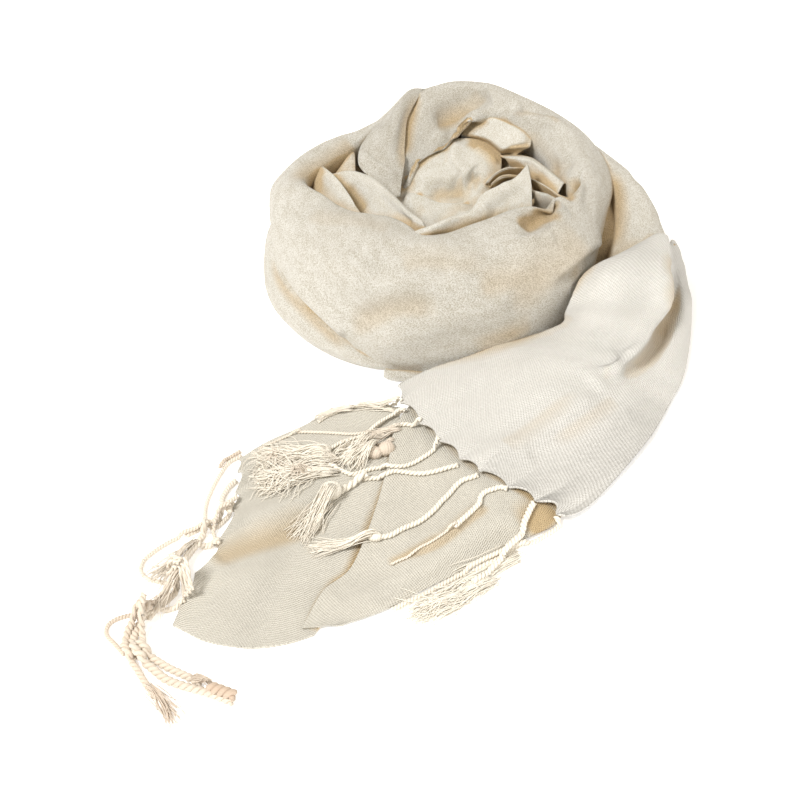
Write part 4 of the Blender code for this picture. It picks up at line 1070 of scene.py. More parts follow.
# %% The pleats
# Each row is a section across the pleats, from their spread end to their gathered end.
RIGHT_PLEATS = (
    ((80, 131, 70), (80, 117, 80), (82, 121, 68), (80, 105, 80), (82, 100, 77), (82, 105, 66)),
    ((86, 124, 72), (86, 110, 81), (87, 114, 70), (85, 101, 81), (87, 97, 78), (87, 100, 68)),
    ((91, 115, 75), (91, 103, 82), (91, 107, 74), (90, 97, 82), (91, 94, 79), (91, 96, 72)),
    ((97, 104, 77), (97, 94, 83), (97, 97, 79), (96, 91, 82), (96, 89, 80), (96, 91, 76)),
    ((103, 97, 79), (102, 90, 83), (102, 91, 81), (101, 88, 82), (101, 86, 81), (101, 88, 78)),
)
# Each row runs along one fold of the swirl: valley, ridge, valley and so on, towards us.
SWIRL = (
    ((53, 136, 63), (59, 143, 65), (67, 146, 67), (75, 147, 67), (82, 147, 65)),
    ((54, 125, 72), (59, 128, 76), (66, 131, 78), (73, 133, 77), (81, 136, 75)),
    ((56, 129, 66), (61, 134, 66), (67, 138, 66), (72, 138, 66), (78, 140, 65)),
    ((57, 123, 72), (62, 124, 76), (67, 126, 76), (72, 127, 75), (77, 130, 73)),
    ((59, 127, 65), (64, 132, 65), (68, 134, 65), (71, 134, 65), (75, 135, 64)),
    ((59, 119, 71), (64, 122, 73), (68, 124, 73), (71, 125, 72), (74, 127, 71)),
    ((60, 121, 63), (64, 126, 63), (68, 128, 63), (71, 128, 63), (73, 131, 63)),
)
right_pleats = cloth("right_pleats_cloth", loft(RIGHT_PLEATS, 50, 90), ["right_pleats"], painted_light_heart_cloth,
                     seed=15, ripple=0.3, thick=1.0)
heart_pleats = cloth("swirl_cloth", loft(SWIRL, 90, 50), ["heart_pleats"], painted_light_heart_cloth,
                     flip=True, seed=16, ripple=0.3, thick=1.0)

# %% [markdown]
# ## The two ends
# The tail is the upper end: it comes down from the hump at the right and ends in tassels. The
# lower end comes out from under it, is folded once along its length, and lies on the table.

# %% The tail's sections
# Each row is a section across the tail, from the hump down to the tasselled edge.
TAIL_TOP = (
    # inner edge, shoulder, face, face, crest of the long fold, pocket, flank, side, foot
    ((133, 70, 48), (141, 77, 49), (150, 84, 50), (158, 91, 50), (164, 94, 47), (166, 95, 42),
     (169, 98, 40), (171, 103, 36), (172, 105, 30)),
    ((131, 64, 59), (140, 69, 62), (149, 77, 62), (157, 84, 62), (164, 88, 58), (166, 91, 50),
     (168, 95, 49), (171, 99, 44), (174, 105, 33)),
    ((121, 62, 57), (131, 60, 62), (142, 63, 63), (155, 69, 60), (165, 72, 54), (167, 81, 43),
     (172, 90, 38), (177, 96, 30), (180, 104, 15)),
    ((109, 54, 52), (120, 48, 58), (134, 47, 59), (150, 51, 55), (164, 57, 48), (169, 74, 31),
     (174, 78, 29), (180, 86, 20), (183, 93, 6)),
    ((101, 38, 45), (115, 32, 51), (131, 30, 51), (147, 37, 46), (160, 42, 41), (167, 64, 23),
     (174, 64, 23), (180, 74, 12), (181, 75, 4)),
    ((98, 32, 41), (112, 24, 47), (129, 21, 47), (144, 25, 41), (153, 31, 35), (160, 45, 20),
     (169, 42, 20), (177, 51, 9), (178, 51, 3)),
    ((97, 30, 36), (110, 17, 43), (127, 14, 42), (140, 16, 36), (148, 19, 32), (155, 31, 19),
     (163, 26, 19), (173, 31, 9), (174, 29, 3)),
    ((88, 29, 31), (103, 11, 39), (119, 6, 37), (132, 8, 31), (140, 7, 29), (147, 15, 19),
     (155, 11, 18), (166, 12, 9), (169, 12, 3)),
    ((78, 28, 27), (95, 6, 36), (112, -2, 33), (122, -2, 28), (129, -3, 26), (136, -1, 20),
     (144, -4, 18), (156, -2, 9), (163, -2, 3)),
    ((58, 24, 23), (68, 9, 28), (78, -5, 30), (90, -18, 28), (102, -27, 26), (115, -33, 22),
     (127, -36, 17), (139, -35, 11), (149, -33, 4)),
    ((39, 17, 19), (48, -1, 23), (57, -17, 25), (67, -31, 24), (78, -44, 22), (91, -54, 19),
     (104, -61, 15), (119, -62, 10), (133, -60, 4)),
    ((20, 12, 15), (29, -8, 18), (38, -27, 20), (47, -44, 20), (58, -58, 19), (69, -70, 17),
     (82, -79, 14), (97, -85, 9), (114, -88, 4)),
    ((5, 3, 13), (14, -15, 16), (24, -34, 18), (37, -53, 18), (48, -67, 18), (60, -79, 17),
     (73, -89, 14), (86, -96, 10), (101, -103, 5)),
    ((-6, -8, 12), (2, -23, 13), (13, -41, 15), (25, -61, 16), (38, -76, 16), (52, -88, 16),
     (64, -96, 14), (77, -103, 11), (90, -110, 7)),
)
print(len(TAIL_TOP), "sections of", len(TAIL_TOP[0]), "places")

# %% The tail's creases and its edge
TAIL_CREASES = (
    # kind, height, width, places
    # long fold
    ("tuck", 3.5, 13, ((0.63, 0.41), (0.61, 0.46), (0.56, 0.5), (0.5, 0.5), (0.43, 0.5), (0.36, 0.53),
                       (0.3, 0.52), (0.24, 0.51), (0.18, 0.49), (0.13, 0.47))),
    ("trough", 3, 8, ((0.17, 0.5), (0.23, 0.53), (0.28, 0.58), (0.32, 0.57))),  # pocket beside it
    ("trough", 2.4, 12, ((0.29, 0.54), (0.42, 0.59), (0.57, 0.58), (0.62, 0.5))),  # valley
    ("ridge", 1.5, 10, ((0.22, 0.78), (0.3, 0.8), (0.42, 0.79), (0.65, 0.8))),  # outer flank
    ("ridge", 1.4, 5, ((0.63, 0.37), (0.61, 0.35), (0.58, 0.39))),  # knot
    ("trough", 1.4, 5, ((0.63, 0.41), (0.64, 0.5), (0.65, 0.52))),  # knot hollow
    ("trough", 3, 8, ((0.65, 0.46), (0.7, 0.49), (0.87, 0.53))),  # long trough
    ("ridge", 2.6, 7, ((0.66, 0.56), (0.73, 0.54), (0.94, 0.54), (1, 0.52))),  # ridge below it
    ("trough", 2.2, 9, ((0.65, 0.68), (0.71, 0.63), (0.8, 0.65), (0.84, 0.63))),  # second trough
    ("trough", 0.9, 9, ((0.88, 0.23), (0.72, 0.16), (0.64, 0.1))),  # low hollow by the coil
    ("ridge", 1, 12, ((0.92, 0.41), (0.79, 0.41), (0.7, 0.38), (0.62, 0.23), (0.43, 0.24))),  # crest
    ("trough", 1, 8, ((0.66, 0.82), (0.77, 0.83), (0.84, 0.85))),  # hollow low on the right
    ("ridge", 0.9, 8, ((0.66, 0.76), (0.71, 0.75), (0.83, 0.77))),  # swell beside it
    ("shade", 0.45, 7, ((0.36, 0.55), (0.29, 0.51), (0.24, 0.51), (0.12, 0.45))),  # glow in the valley
    ("shade", 0.15, 5, ((0.62, 0.33), (0.63, 0.43), (0.65, 0.53))),  # glow in the knot
    ("shade", 0.22, 10, ((0.66, 0.47), (0.81, 0.52), (0.87, 0.53))),  # warmth along the long trough
    ("shade", 0.2, 9, ((0.66, 0.66), (0.69, 0.63), (0.8, 0.63))),  # warmth along the second one
)
# Where the tassels draw the edge back.
TAIL_ROOTS = (
    # from share, to share, depth (mm)
    (-0.06, 0.085, 6.0),
    (0.085, 0.233, 3.4),
    (0.233, 0.333, 3.0),
    (0.333, 0.457, 4.0),
    (0.457, 0.558, 3.2),
    (0.558, 0.713, 4.6),
    (0.713, 0.86, 4.8),
    (0.86, 0.969, 8.0),
    (0.969, 1.05, 3.0),
)
print(len(TAIL_CREASES), "creases, and the edge is drawn back in", len(TAIL_ROOTS), "places")

# %% The tail
tail_top = cloth("tail_top_cloth", loft(TAIL_TOP, 225, 112), ["tail_top"], twill_cloth,
                 TAIL_CREASES, flip=True, thick=1.4, seed=20, roots=TAIL_ROOTS)

# %% [markdown]
# ### The lower end
# The right-hand panel goes from under the tail to the front corner. The other lies beside it
# and ends in tassels at the left. A small roll of cloth peeps out between it and the coil.

# %% The lower panels' sections
# Each row is a section across the panel, from the tail down to the front corner.
UNDER_PANEL = (
    ((8, -8, 7), (33, -36, 9), (57, -60, 9), (78, -78, 8), (96, -90, 3)),
    ((-3, -36, 9), (22, -60, 10), (45, -78, 12), (66, -93, 11), (88, -110, 3)),
    ((-7, -68, 9), (15, -80, 8), (36, -94, 12), (54, -106, 11), (74, -120, 2.5)),
    ((-12, -96, 8), (7, -102, 8), (25, -111, 11), (40, -121, 10), (55, -132, 2.5)),
    ((-18, -123, 8), (-3, -129, 7), (12, -136, 9), (24, -143, 8), (34, -148, 2.5)),
    ((-27, -150, 6), (-14, -155, 6), (-3, -159, 8), (7, -162, 7), (13, -163, 2.5)),
    ((-41, -167, 6), (-31, -171, 6), (-23, -174, 6), (-15, -177, 5), (-10, -179, 2.5)),
    ((-52, -193, 4), (-46, -192, 4), (-41, -191, 4), (-36, -190, 3), (-31, -189, 2.5)),
)
# Each row runs down the panel. The last row is its tasselled edge.
END_PANEL = (
    ((0, -14, 6), (-1, -45, 6), (-6, -85, 5), (-14, -122, 4), (-24, -155, 3.5), (-46, -196, 2.5)),
    ((-19, -12, 7), (-20, -45, 7), (-24, -80, 6), (-32, -115, 5), (-44, -152, 4), (-60, -202, 2.5)),
    ((-38, -17, 7), (-40, -48, 8), (-45, -80, 7), (-52, -113, 7), (-62, -152, 6), (-76, -205, 2.5)),
    ((-57, -31, 6), (-60, -56, 9), (-64, -84, 7), (-70, -116, 9), (-78, -154, 7), (-90, -204, 2.5)),
    ((-76, -42, 4), (-78, -62, 7), (-80, -86, 6), (-86, -118, 8), (-93, -156, 6), (-104, -200, 2.5)),
    ((-93, -57, 2.5), (-94, -76, 4), (-95, -98, 4), (-102, -126, 4), (-112, -152, 4), (-121, -190, 2.5)),
)
SMALL_ROLL = (
    # x, y, z of the middle, radius
    (-9, 20.5, 4.2, 3.2),
    (-4, 18.5, 4.4, 3.6),
    (5, 17, 4.6, 3.8),
    (14, 15.5, 4.6, 3.8),
)
print("under, end and roll:", len(UNDER_PANEL), len(END_PANEL), len(SMALL_ROLL), "sections")

# %% The lower panels' creases and edge
UNDER_CREASES = (
    # kind, height, width, places
    ("tuck", 2.2, 5, ((0.66, 0.34), (0.54, 0.63), (0.38, 0.71), (0.32, 0.69))),  # crease
    ("trough", 1.4, 7, ((0.53, 0.25), (0.47, 0.43), (0.38, 0.52), (0.24, 0.54))),  # hollow beside it
    ("ridge", 1.4, 8, ((0.69, 0.63), (0.55, 0.77), (0.39, 0.84), (0.22, 0.83))),  # swell along the outer edge
    ("trough", 1.6, 6, ((0.85, 0.65), (0.73, 0.77), (0.44, 0.93), (0.3, 0.9))),  # hollow at the outer edge
    ("trough", 1.2, 9, ((0.88, 0.13), (0.76, 0.19), (0.63, 0.28))),  # low hollow near the fold
    ("ridge", 1, 9, ((0.44, 0.01), (0.5, 0.13), (0.6, 0.19))),  # low swell
    ("shade", 0.5, 7, ((0.67, 0.33), (0.54, 0.63), (0.38, 0.71), (0.29, 0.7))),  # glow along the crease
    ("shade", 1, 14, ((0.33, 0.99), (0.14, 0.95), (0.1, 0.95))),  # glow under the tail's corner
    ("shade", 0.6, 5, ((0.67, 0.29), (0.61, 0.47), (0.48, 0.64))),  # glow under the fold cord
)
END_CREASES = (
    # kind, height, width, places
    ("trough", 2.2, 12, ((0.98, 0.74), (0.88, 0.7), (0.54, 0.66), (0.27, 0.55))),  # shade band
    ("ridge", 2.2, 11, ((0.88, 0.59), (0.53, 0.54), (0.26, 0.44))),  # swell
    ("ridge", 1.2, 14, ((0.79, 0.85), (0.32, 0.8), (0.2, 0.71))),  # low swell
    ("trough", 1, 10, ((0.19, 0.93), (0.12, 0.83), (0.07, 0.74))),  # hollow along the folded edge
    # glow in the shade band
    ("shade", 0.5, 15, ((0.99, 0.77), (0.88, 0.72), (0.56, 0.68), (0.41, 0.64), (0.26, 0.56))),
    # glow beside the fold's edge
    ("shade", 0.7, 4, ((0.11, 0.93), (0.09, 0.83), (0.05, 0.78), (0.05, 0.63), (0.04, 0.35))),
    # line beside it
    ("trough", 0.9, 2.4, ((0.11, 0.93), (0.09, 0.83), (0.05, 0.78), (0.05, 0.63), (0.04, 0.35))),
)
END_ROOTS = (
    # from share, to share, depth (mm)
    (0.0, 0.12, 2.0),
    (0.12, 0.30, 5.0),
    (0.30, 0.42, 4.5),
    (0.42, 0.60, 6.5),
    (0.60, 0.80, 6.5),
    (0.80, 0.92, 2.0),
)
print(len(UNDER_CREASES) + len(END_CREASES), "creases on the two panels")

# %% The lower panels
under_panel = cloth("under_panel_cloth", loft(UNDER_PANEL, 150, 84), ["under_panel"], dull_twill,
                    UNDER_CREASES, flip=True, thick=1.4, seed=21)
end_panel = cloth("end_panel_cloth", loft(END_PANEL, 130, 150), ["end_panel"], dull_twill,
                  END_CREASES, flip=True, thick=1.4, seed=22, roots=END_ROOTS)
small_roll = cloth("small_roll_cloth", roll(SMALL_ROLL, 40, 30), ["small_roll"], brushed_cloth,
                   flip=True, seed=23, ripple=0.4)

# %% [markdown]
# ## The tassels
# Each end of the stole is finished with tassels: yarns from the cloth are twisted into a cord
# of two plies, the cord ends in a round knot, and the yarns stay loose below it as a brush.
# They are limp, so they lie on whatever is under them. We lay them one after the other, as a
# hand would. A map of heights starts as the cloth seen from above. A cord takes its height
# from the map, and then the map rises by the cord, so the next one passes over it.

# %% The map of heights
CELL = 0.6  # mm
MAP_X = np.arange(-172.0, 122.0, CELL)
MAP_Y = np.arange(-272.0, 14.0, CELL)
ABOVE_ALL = 200.0  # mm: higher than any cloth


def tree_of(grids):
    """One tree for ray casting through all the grids, in mm."""
    points = []
    faces = []
    for grid in grids:
        faces.extend((grid_faces(*grid.shape[:2]) + len(points)).tolist())
        points.extend(grid.reshape(-1, 3).tolist())
    return BVHTree.FromPolygons(points, faces)


def height_map():
    """The height of the cloth that the tassels lie on, seen from above, and 0 on the table."""
    carriers = [grid[::2, ::2] for piece, grid, out, hollow in sheets
                if piece in (tail_top, under_panel, end_panel)]
    tree = tree_of(carriers)
    down = Vector((0, 0, -1))
    heights = np.zeros((len(MAP_X), len(MAP_Y)))
    for i, x in enumerate(MAP_X):
        for j, y in enumerate(MAP_Y):
            hit = tree.ray_cast(Vector((x, y, ABOVE_ALL)), down)[0]
            if hit is not None:
                heights[i, j] = max(hit.z, 0.0)
    return heights


ground = height_map()
print("map of heights:", ground.shape, "highest", round(float(ground.max()), 1), "mm")

# %% [markdown]
# ## Yarn
# Everything in the fringe is made of thin tubes, and all the tubes of one bunch are one mesh.
# Each tube keeps a tint, so that the yarns of one bunch can differ in colour.

# %% Yarn
class Yarn:
    """Tubes collected into one mesh, each with its own tint."""

    def __init__(self, browner=0.0):
        self.browner = browner
        self.points = []
        self.faces = []
        self.tints = []
        self.count = 0

    def tube(self, path, radius, sides, tint=0.0):
        """A round tube along a path, closed at both ends."""
        path = np.asarray(path, float)
        radius = np.broadcast_to(radius, len(path))
        ahead = unit(np.gradient(path, axis=0))
        side = unit(np.cross(ahead, (0.1, 0.05, 1.0)))  # no tube runs just this way
        top = np.cross(side, ahead)
        bend = np.linspace(0, 2 * np.pi, sides, endpoint=False)[None, :, None]
        ring = np.cos(bend) * side[:, None] + np.sin(bend) * top[:, None]
        points = path[:, None] + ring * radius[:, None, None]
        rows = len(path)
        corner = np.arange(rows - 1)[:, None] * sides + np.arange(sides)
        beside = np.arange(rows - 1)[:, None] * sides + (np.arange(sides) + 1) % sides
        quads = np.stack([corner, beside, beside + sides, corner + sides], axis=-1).reshape(-1, 4)
        self.faces.extend((quads + self.count).tolist())
        self.faces.append((np.arange(sides)[::-1] + self.count).tolist())
        self.faces.append((np.arange(sides) + (rows - 1) * sides + self.count).tolist())
        self.points.append(points.reshape(-1, 3))
        self.tints.append(np.full(rows * sides, tint + self.browner))
        self.count += rows * sides

    def piece(self, name, finish, nodes):
        """The collected tubes as one object that stands for its solids."""
        mesh = bpy.data.meshes.new(name)
        mesh.from_pydata(to_frame(np.concatenate(self.points)).tolist(), [], self.faces)
        keep_value(mesh, "tint", np.concatenate(self.tints))
        print(f"{name}: {len(self.tints)} yarns, {len(self.faces)} faces")
        return stand_in(name, mesh, finish, nodes)


trial = Yarn()
trial.tube([(0, 0, 0), (5, 0, 1), (10, 0, 0)], 1.0, 6)
print("a tube through 3 places has", trial.count, "points and", len(trial.faces), "faces")

# %% [markdown]
# ## Laying it down
# A limp yarn touches what is under it from above. It bridges short gaps and sinks a little
# into the cloth, so its height is the map's, widened, smoothed and never below the map.

# %% Laying it down
ROUGH_STEPS = 24  # rough samples of a line for each place given
RESTS_AT = 0.92  # radii above what it lies on: a yarn sinks in a little


def smooth(values, reach):
    """A running average along a line, which keeps the ends."""
    width = max(int(reach), 1)
    kernel = np.hanning(2 * width + 3)[1:-1]
    kernel /= kernel.sum()
    padded = np.concatenate([np.full(width, values[0]), values, np.full(width, values[-1])])
    return np.convolve(padded, kernel, "valid")


def map_place(xy):
    """The map's cells under the given places, kept a little inside its border."""
    i = np.clip(((xy[:, 0] - MAP_X[0]) / CELL).round().astype(int), 2, len(MAP_X) - 3)
    j = np.clip(((xy[:, 1] - MAP_Y[0]) / CELL).round().astype(int), 2, len(MAP_Y) - 3)
    return i, j


def settle(xy, radius, stiff=3.0):
    """The path of a limp yarn laid along a line on the map, touching it from above."""
    i, j = map_place(xy)
    under = np.max([ground[i + a, j + b] for a in (-1, 0, 1) for b in (-1, 0, 1)], axis=0)
    reach = max(int(stiff), 1)
    padded = np.concatenate([np.full(reach, under[0]), under, np.full(reach, under[-1])])
    crest = np.max([padded[k:k + len(under)] for k in range(2 * reach + 1)], axis=0)
    z = np.maximum(smooth(crest, reach + 1), under) + radius * RESTS_AT
    return np.column_stack([xy, z])


def press(path, radius):
    """Raises the map by a yarn that was laid."""
    steps = int(radius / CELL) + 1
    i, j = map_place(path)
    for a in range(-steps, steps + 1):
        for b in range(-steps, steps + 1):
            beside = (a * a + b * b) * CELL * CELL
            if beside <= radius * radius:
                top = path[:, 2] + math.sqrt(radius * radius - beside)
                np.maximum.at(ground, (i + a, j + b), top)


def evenly(points, step):
    """A smooth line through points, in steps of one length."""
    rough = spline(points, ROUGH_STEPS * len(points))
    run = np.concatenate([[0], np.cumsum(np.linalg.norm(np.diff(rough, axis=0), axis=1))])
    wanted = np.linspace(0, run[-1], max(int(run[-1] / step), 4))
    return np.column_stack([np.interp(wanted, run, rough[:, k]) for k in range(rough.shape[1])])


halfway = evenly([(0, 0), (10, 0)], 1.0)
print("a line of 10 mm in steps of about 1 mm:", len(halfway), "places")

# %% [markdown]
# ## Cord, knot and brush
# A ply is a tube on a helix round the cord's middle line, and two plies half a turn apart make
# the cord. A knot is three strands wound over a short ball. A brush is many fine yarns that
# leave one place together and stray.

# %% Cord
CORD_STEP = 0.55  # mm between the points of a cord
PLIES = 2
PLY_ARM = 0.5  # how far a ply winds from the middle, in cord radii
PLY_THICK = 0.60  # a ply's own radius, in cord radii


def cord(yarn, line, radius, pitch, tint=0.0):
    """A twisted cord laid along a line of (x, y) places, with one turn of a ply in each pitch."""
    path = settle(evenly(line, CORD_STEP), radius)
    ahead = unit(np.gradient(path, axis=0))
    side = unit(np.cross(ahead, (0, 0, 1.0)))
    top = np.cross(side, ahead)
    run = np.arange(len(path)) * CORD_STEP
    for ply in range(PLIES):
        angle = 2 * np.pi * (run / pitch + ply / PLIES)
        arm = radius * PLY_ARM
        helix = path + arm * (np.cos(angle)[:, None] * side + np.sin(angle)[:, None] * top)
        yarn.tube(helix, radius * PLY_THICK, 6, tint)
    press(path, radius)


print("a cord of radius 1.5 mm has plies of radius", 1.5 * PLY_THICK, "mm")

# %% Knot
KNOT_STRANDS = 3
KNOT_POINTS = 90  # along each strand
KNOT_TURNS = 2.6  # that each strand makes from end to end
KNOT_ALONG = 0.72  # reach of the strands' middle lines, in half lengths
KNOT_ACROSS = 0.66  # and in radii
STRAND_THICK = 0.46  # a strand's own radius, in knot radii
KNOT_RESTS_AT = 0.75  # radii above what it lies on


def knot(yarn, place, ahead, size, tint=0.0):
    """A round knot: the cord's own plies wound tightly over themselves."""
    long, wide = size
    i, j = map_place(np.array([place]))
    z = ground[i[0], j[0]] + wide * KNOT_RESTS_AT
    middle = np.array([place[0], place[1], z])
    ahead = np.array([ahead[0], ahead[1], 0.0])
    ahead /= np.linalg.norm(ahead)
    side = np.array([-ahead[1], ahead[0], 0.0])
    t = np.linspace(0, 1, KNOT_POINTS)
    along = np.cos(np.pi * t)
    belly = np.sqrt(np.maximum(1 - along**2, 0.0))
    for start in range(KNOT_STRANDS):
        wind = 2 * np.pi * (KNOT_TURNS * t + start / KNOT_STRANDS)
        ring = along[:, None] * long * KNOT_ALONG * ahead
        ring = ring + (belly * np.cos(wind))[:, None] * wide * KNOT_ACROSS * side
        ring[:, 2] += belly * np.sin(wind) * wide * KNOT_ACROSS
        yarn.tube(middle + ring, wide * STRAND_THICK, 6, tint)
    press(np.array([middle]), wide)


print("a knot is", KNOT_STRANDS, "strands of", KNOT_TURNS, "turns")

# %% Brush
BRUSH_POINTS = 12  # along each loose yarn
BRUSH_CORE = 0.5  # mm: radius that the brush's middle line is laid with
YARN_LENGTHS = (0.72, 1.08)  # shortest and longest, as shares of the brush's length
TIP_LOSS = 0.5  # share of its thickness that a yarn loses towards its tip
TINT_SPREAD = 0.12


def brush(yarn, place, ahead, length, spread, count, rng,
          curl=1.2, thick=0.28, tint=0.0, rise=2.2, narrow=0.8):
    """Loose yarns that leave one place together and stray."""
    aim = math.atan2(ahead[1], ahead[0])
    t = np.linspace(0, 1, BRUSH_POINTS)
    for _ in range(count):
        lean = rng.normal(0, 0.5)
        reach = length * rng.uniform(*YARN_LENGTHS)
        sway = np.sin(rng.uniform(0, 6.28) + t * rng.uniform(4, 9))
        heading = aim + lean * spread * t**0.8 + curl * 0.25 * sway * t
        steps = reach / (BRUSH_POINTS - 1)
        x = place[0] + rng.normal(0, narrow) + np.concatenate([[0], np.cumsum(np.cos(heading[1:]) * steps)])
        y = place[1] + rng.normal(0, narrow) + np.concatenate([[0], np.cumsum(np.sin(heading[1:]) * steps)])
        path = settle(np.column_stack([x, y]), thick, 2)
        arc = np.sin(np.pi * np.clip(t * 0.9 + 0.12, 0, 1)) ** 0.8
        path[:, 2] += rise * rng.uniform(0, 1) * arc
        own_tint = tint + rng.uniform(-TINT_SPREAD, TINT_SPREAD)
        yarn.tube(path, thick * (1 - TIP_LOSS * t**3), 4, own_tint)
    middle = np.column_stack([place[0] + np.cos(aim) * length * t, place[1] + np.sin(aim) * length * t])
    # What is laid next passes over the brush at about half its rise, since loose yarn gives way.
    press(settle(middle, BRUSH_CORE, 2), 0.5 * rise)


print("a loose yarn is drawn through", BRUSH_POINTS, "places")

# %% [markdown]
# ## The fringe's finish
# One material serves every yarn. It reads the yarn's tint and goes from light cream to brown. A fine fuzz,
# far smaller than a yarn, breaks up its light, and a little sheen softens its edges.

# %% The fringe material
CREAM_YARN = (0.89, 0.855, 0.765, 1)
BROWN_YARN = (0.55, 0.43, 0.33, 1)
FUZZ_SHADE = (0.80, 0.70, 0.52, 1)
fringe_yarn = bpy.data.materials.new("fringe_yarn")
fringe_yarn.use_nodes = True
fringe_tree = fringe_yarn.node_tree
fringe_shader = fringe_tree.nodes["Principled BSDF"]
tint = node(fringe_tree, "ShaderNodeAttribute", {"attribute_name": "tint"})
browned = maths(fringe_tree, "ADD", tint.outputs["Fac"], 0.14)
browned = node(fringe_tree, "ShaderNodeClamp", None, Value=browned)
yarn_colour = node(fringe_tree, "ShaderNodeMix", {"data_type": "RGBA"},
                   i0=browned.outputs[0], i6=CREAM_YARN, i7=BROWN_YARN)
here = node(fringe_tree, "ShaderNodeTexCoord")
fuzz = node(fringe_tree, "ShaderNodeTexNoise", None, Vector=here.outputs["Object"],
            Scale=1400.0, Detail=2.0)
fuzz_share = maths(fringe_tree, "MULTIPLY", fuzz.outputs["Fac"], 0.18)
fuzz_shade = node(fringe_tree, "ShaderNodeMix", {"data_type": "RGBA", "blend_type": "MULTIPLY"},
                  i0=fuzz_share, i6=yarn_colour.outputs[2], i7=FUZZ_SHADE)
fringe_bump = node(fringe_tree, "ShaderNodeBump", None, Height=fuzz.outputs["Fac"],
                   Strength=0.6, Distance=0.25 * MM)
fringe_tree.links.new(fuzz_shade.outputs[2], fringe_shader.inputs["Base Color"])
fringe_tree.links.new(fringe_bump.outputs["Normal"], fringe_shader.inputs["Normal"])
fringe_shader.inputs["Roughness"].default_value = 0.7
fringe_shader.inputs["Specular IOR Level"].default_value = 0.3
fringe_shader.inputs["Sheen Weight"].default_value = 0.2
print("fringe material:", len(fringe_tree.nodes), "nodes")

# %% [markdown]
# ## The upper end's tassels
# They hang from the tail's edge and lie on the panels below it. They are laid from the back
# to the front. A cord's numbers after its line are its radius and the length of a full turn,
# in mm, then its tint. Each solid of the frame has one bunch that stands for it.

# %% The upper tassels
rng = np.random.RandomState(7)

# Thin cords at the back, and two short brushes.
upper_back = Yarn()
cord(upper_back, [(1, -18), (-5, -12), (-14, -13), (-24, -15), (-33, -17), (-38, -21), (-43, -24),
                  (-48, -29)], 1, 4.2)
brush(upper_back, (-2, -17), (-1, 0.12), 26, 0.3, 30, rng, curl=0.8, rise=1.2)
brush(upper_back, (-28, -17), (-1, -0.35), 26, 0.4, 34, rng, curl=0.8, rise=1)
cord(upper_back, [(2, -21), (-2, -21), (-7, -24), (-11, -29), (-16, -36), (-22, -40), (-30, -41),
                  (-40, -40), (-50, -39), (-60, -38)], 0.9, 3.6, 0.12)
cord(upper_back, [(-58, -38), (-66, -41), (-74, -46), (-82, -51)], 0.8, 3.6, 0.18)
cord(upper_back, [(3, -22), (-2, -22), (-8, -27), (-14, -34), (-19, -41), (-26, -45), (-34, -49),
                  (-40, -55)], 1.1, 4.4)

# The tuft at the tail's corner: three knots, and most of the loose yarn.
tuft = Yarn()
cord(tuft, [(12, -37), (5, -34), (-1, -35), (-7, -37), (-13, -41), (-20, -46), (-28, -50), (-35, -56),
            (-41, -64)], 1.3, 5)
# Painted shade: the brown tints of the first two brushes and of the two knots after them stand for the shadow
# at the tuft's root, under the tail's corner.
brush(tuft, (-1, -38), (-1, -0.42), 20, 0.4, 46, rng, tint=0.32)
brush(tuft, (-5, -47), (-1, -0.6), 12, 0.7, 40, rng, tint=0.42)
knot(tuft, (-15, -58), (-1, 0.3), (4.6, 3.6), 0.45)
knot(tuft, (-8, -55), (-1, -0.6), (5, 4), 0.5)
brush(tuft, (-17, -51), (-0.75, -1), 19, 0.45, 110, rng, curl=1.4, thick=0.36, rise=4, narrow=2.6)
brush(tuft, (-24, -54), (-0.75, -1), 17, 0.5, 90, rng, curl=1.8, thick=0.36, rise=3.6, narrow=2.6)
knot(tuft, (-45, -60), (-1, -0.5), (5.2, 4.2), -0.05)
brush(tuft, (-36, -65), (-1, -0.3), 12, 1.2, 60, rng, curl=4, rise=4, tint=0.12)
brush(tuft, (-44, -66), (-1, 0.05), 40, 0.75, 170, rng, curl=3, rise=5, narrow=2.2)
brush(tuft, (-60, -67), (-1, 0.02), 26, 1.5, 120, rng, curl=4.5, rise=5, narrow=3.2, tint=0.02)
brush(tuft, (-40, -73), (-1, -0.22), 44, 0.6, 190, rng, curl=3, rise=5, narrow=2.6)
brush(tuft, (-60, -78), (-1, -0.16), 24, 1.3, 120, rng, curl=4.5, rise=4.5, narrow=3.2)
brush(tuft, (-53, -77), (-1, 0.1), 9, 1.5, 34, rng, curl=4, rise=5, tint=0.34, narrow=2)
brush(tuft, (-68, -68), (-1, -0.2), 8, 1.5, 24, rng, curl=4, rise=5, tint=0.30, narrow=1.6)
cord(tuft, [(22, -54), (19, -58), (15, -62), (9, -66), (2, -70), (-5, -71), (-12, -69), (-19, -71),
            (-27, -75), (-34, -72), (-41, -69)], 1.3, 4.6)

# One cord that thickens, its knot and its brush.
upper_mid = Yarn()
cord(upper_mid, [(33, -73), (28, -74), (22, -75), (15, -76), (6, -75), (-3, -75), (-9, -78),
                 (-15, -78), (-21, -79)], 1.4, 4.8)
cord(upper_mid, [(-19, -78), (-24, -81), (-28, -85), (-31, -88), (-34, -91)], 2.1, 9)
knot(upper_mid, (-39, -94), (-1, -0.4), (6, 5.2), -0.04)
brush(upper_mid, (-40, -98), (-0.55, -1), 32, 0.42, 120, rng, curl=1, rise=3.4, narrow=2.4)

# One long cord that reaches to the front, its knot and its brush.
upper_front = Yarn()
cord(upper_front, [(44, -83), (40, -85), (35, -87), (31, -91), (27, -97), (23, -102), (19, -108),
                   (13, -114), (7, -118), (1, -122), (-5, -127), (-11, -129)], 1.5, 4.8)
knot(upper_front, (-14, -129), (-1, 0.1), (4.2, 2.8))
brush(upper_front, (-16, -128), (-1, -0.22), 34, 0.32, 110, rng, curl=0.9, rise=2.6, narrow=1.4)

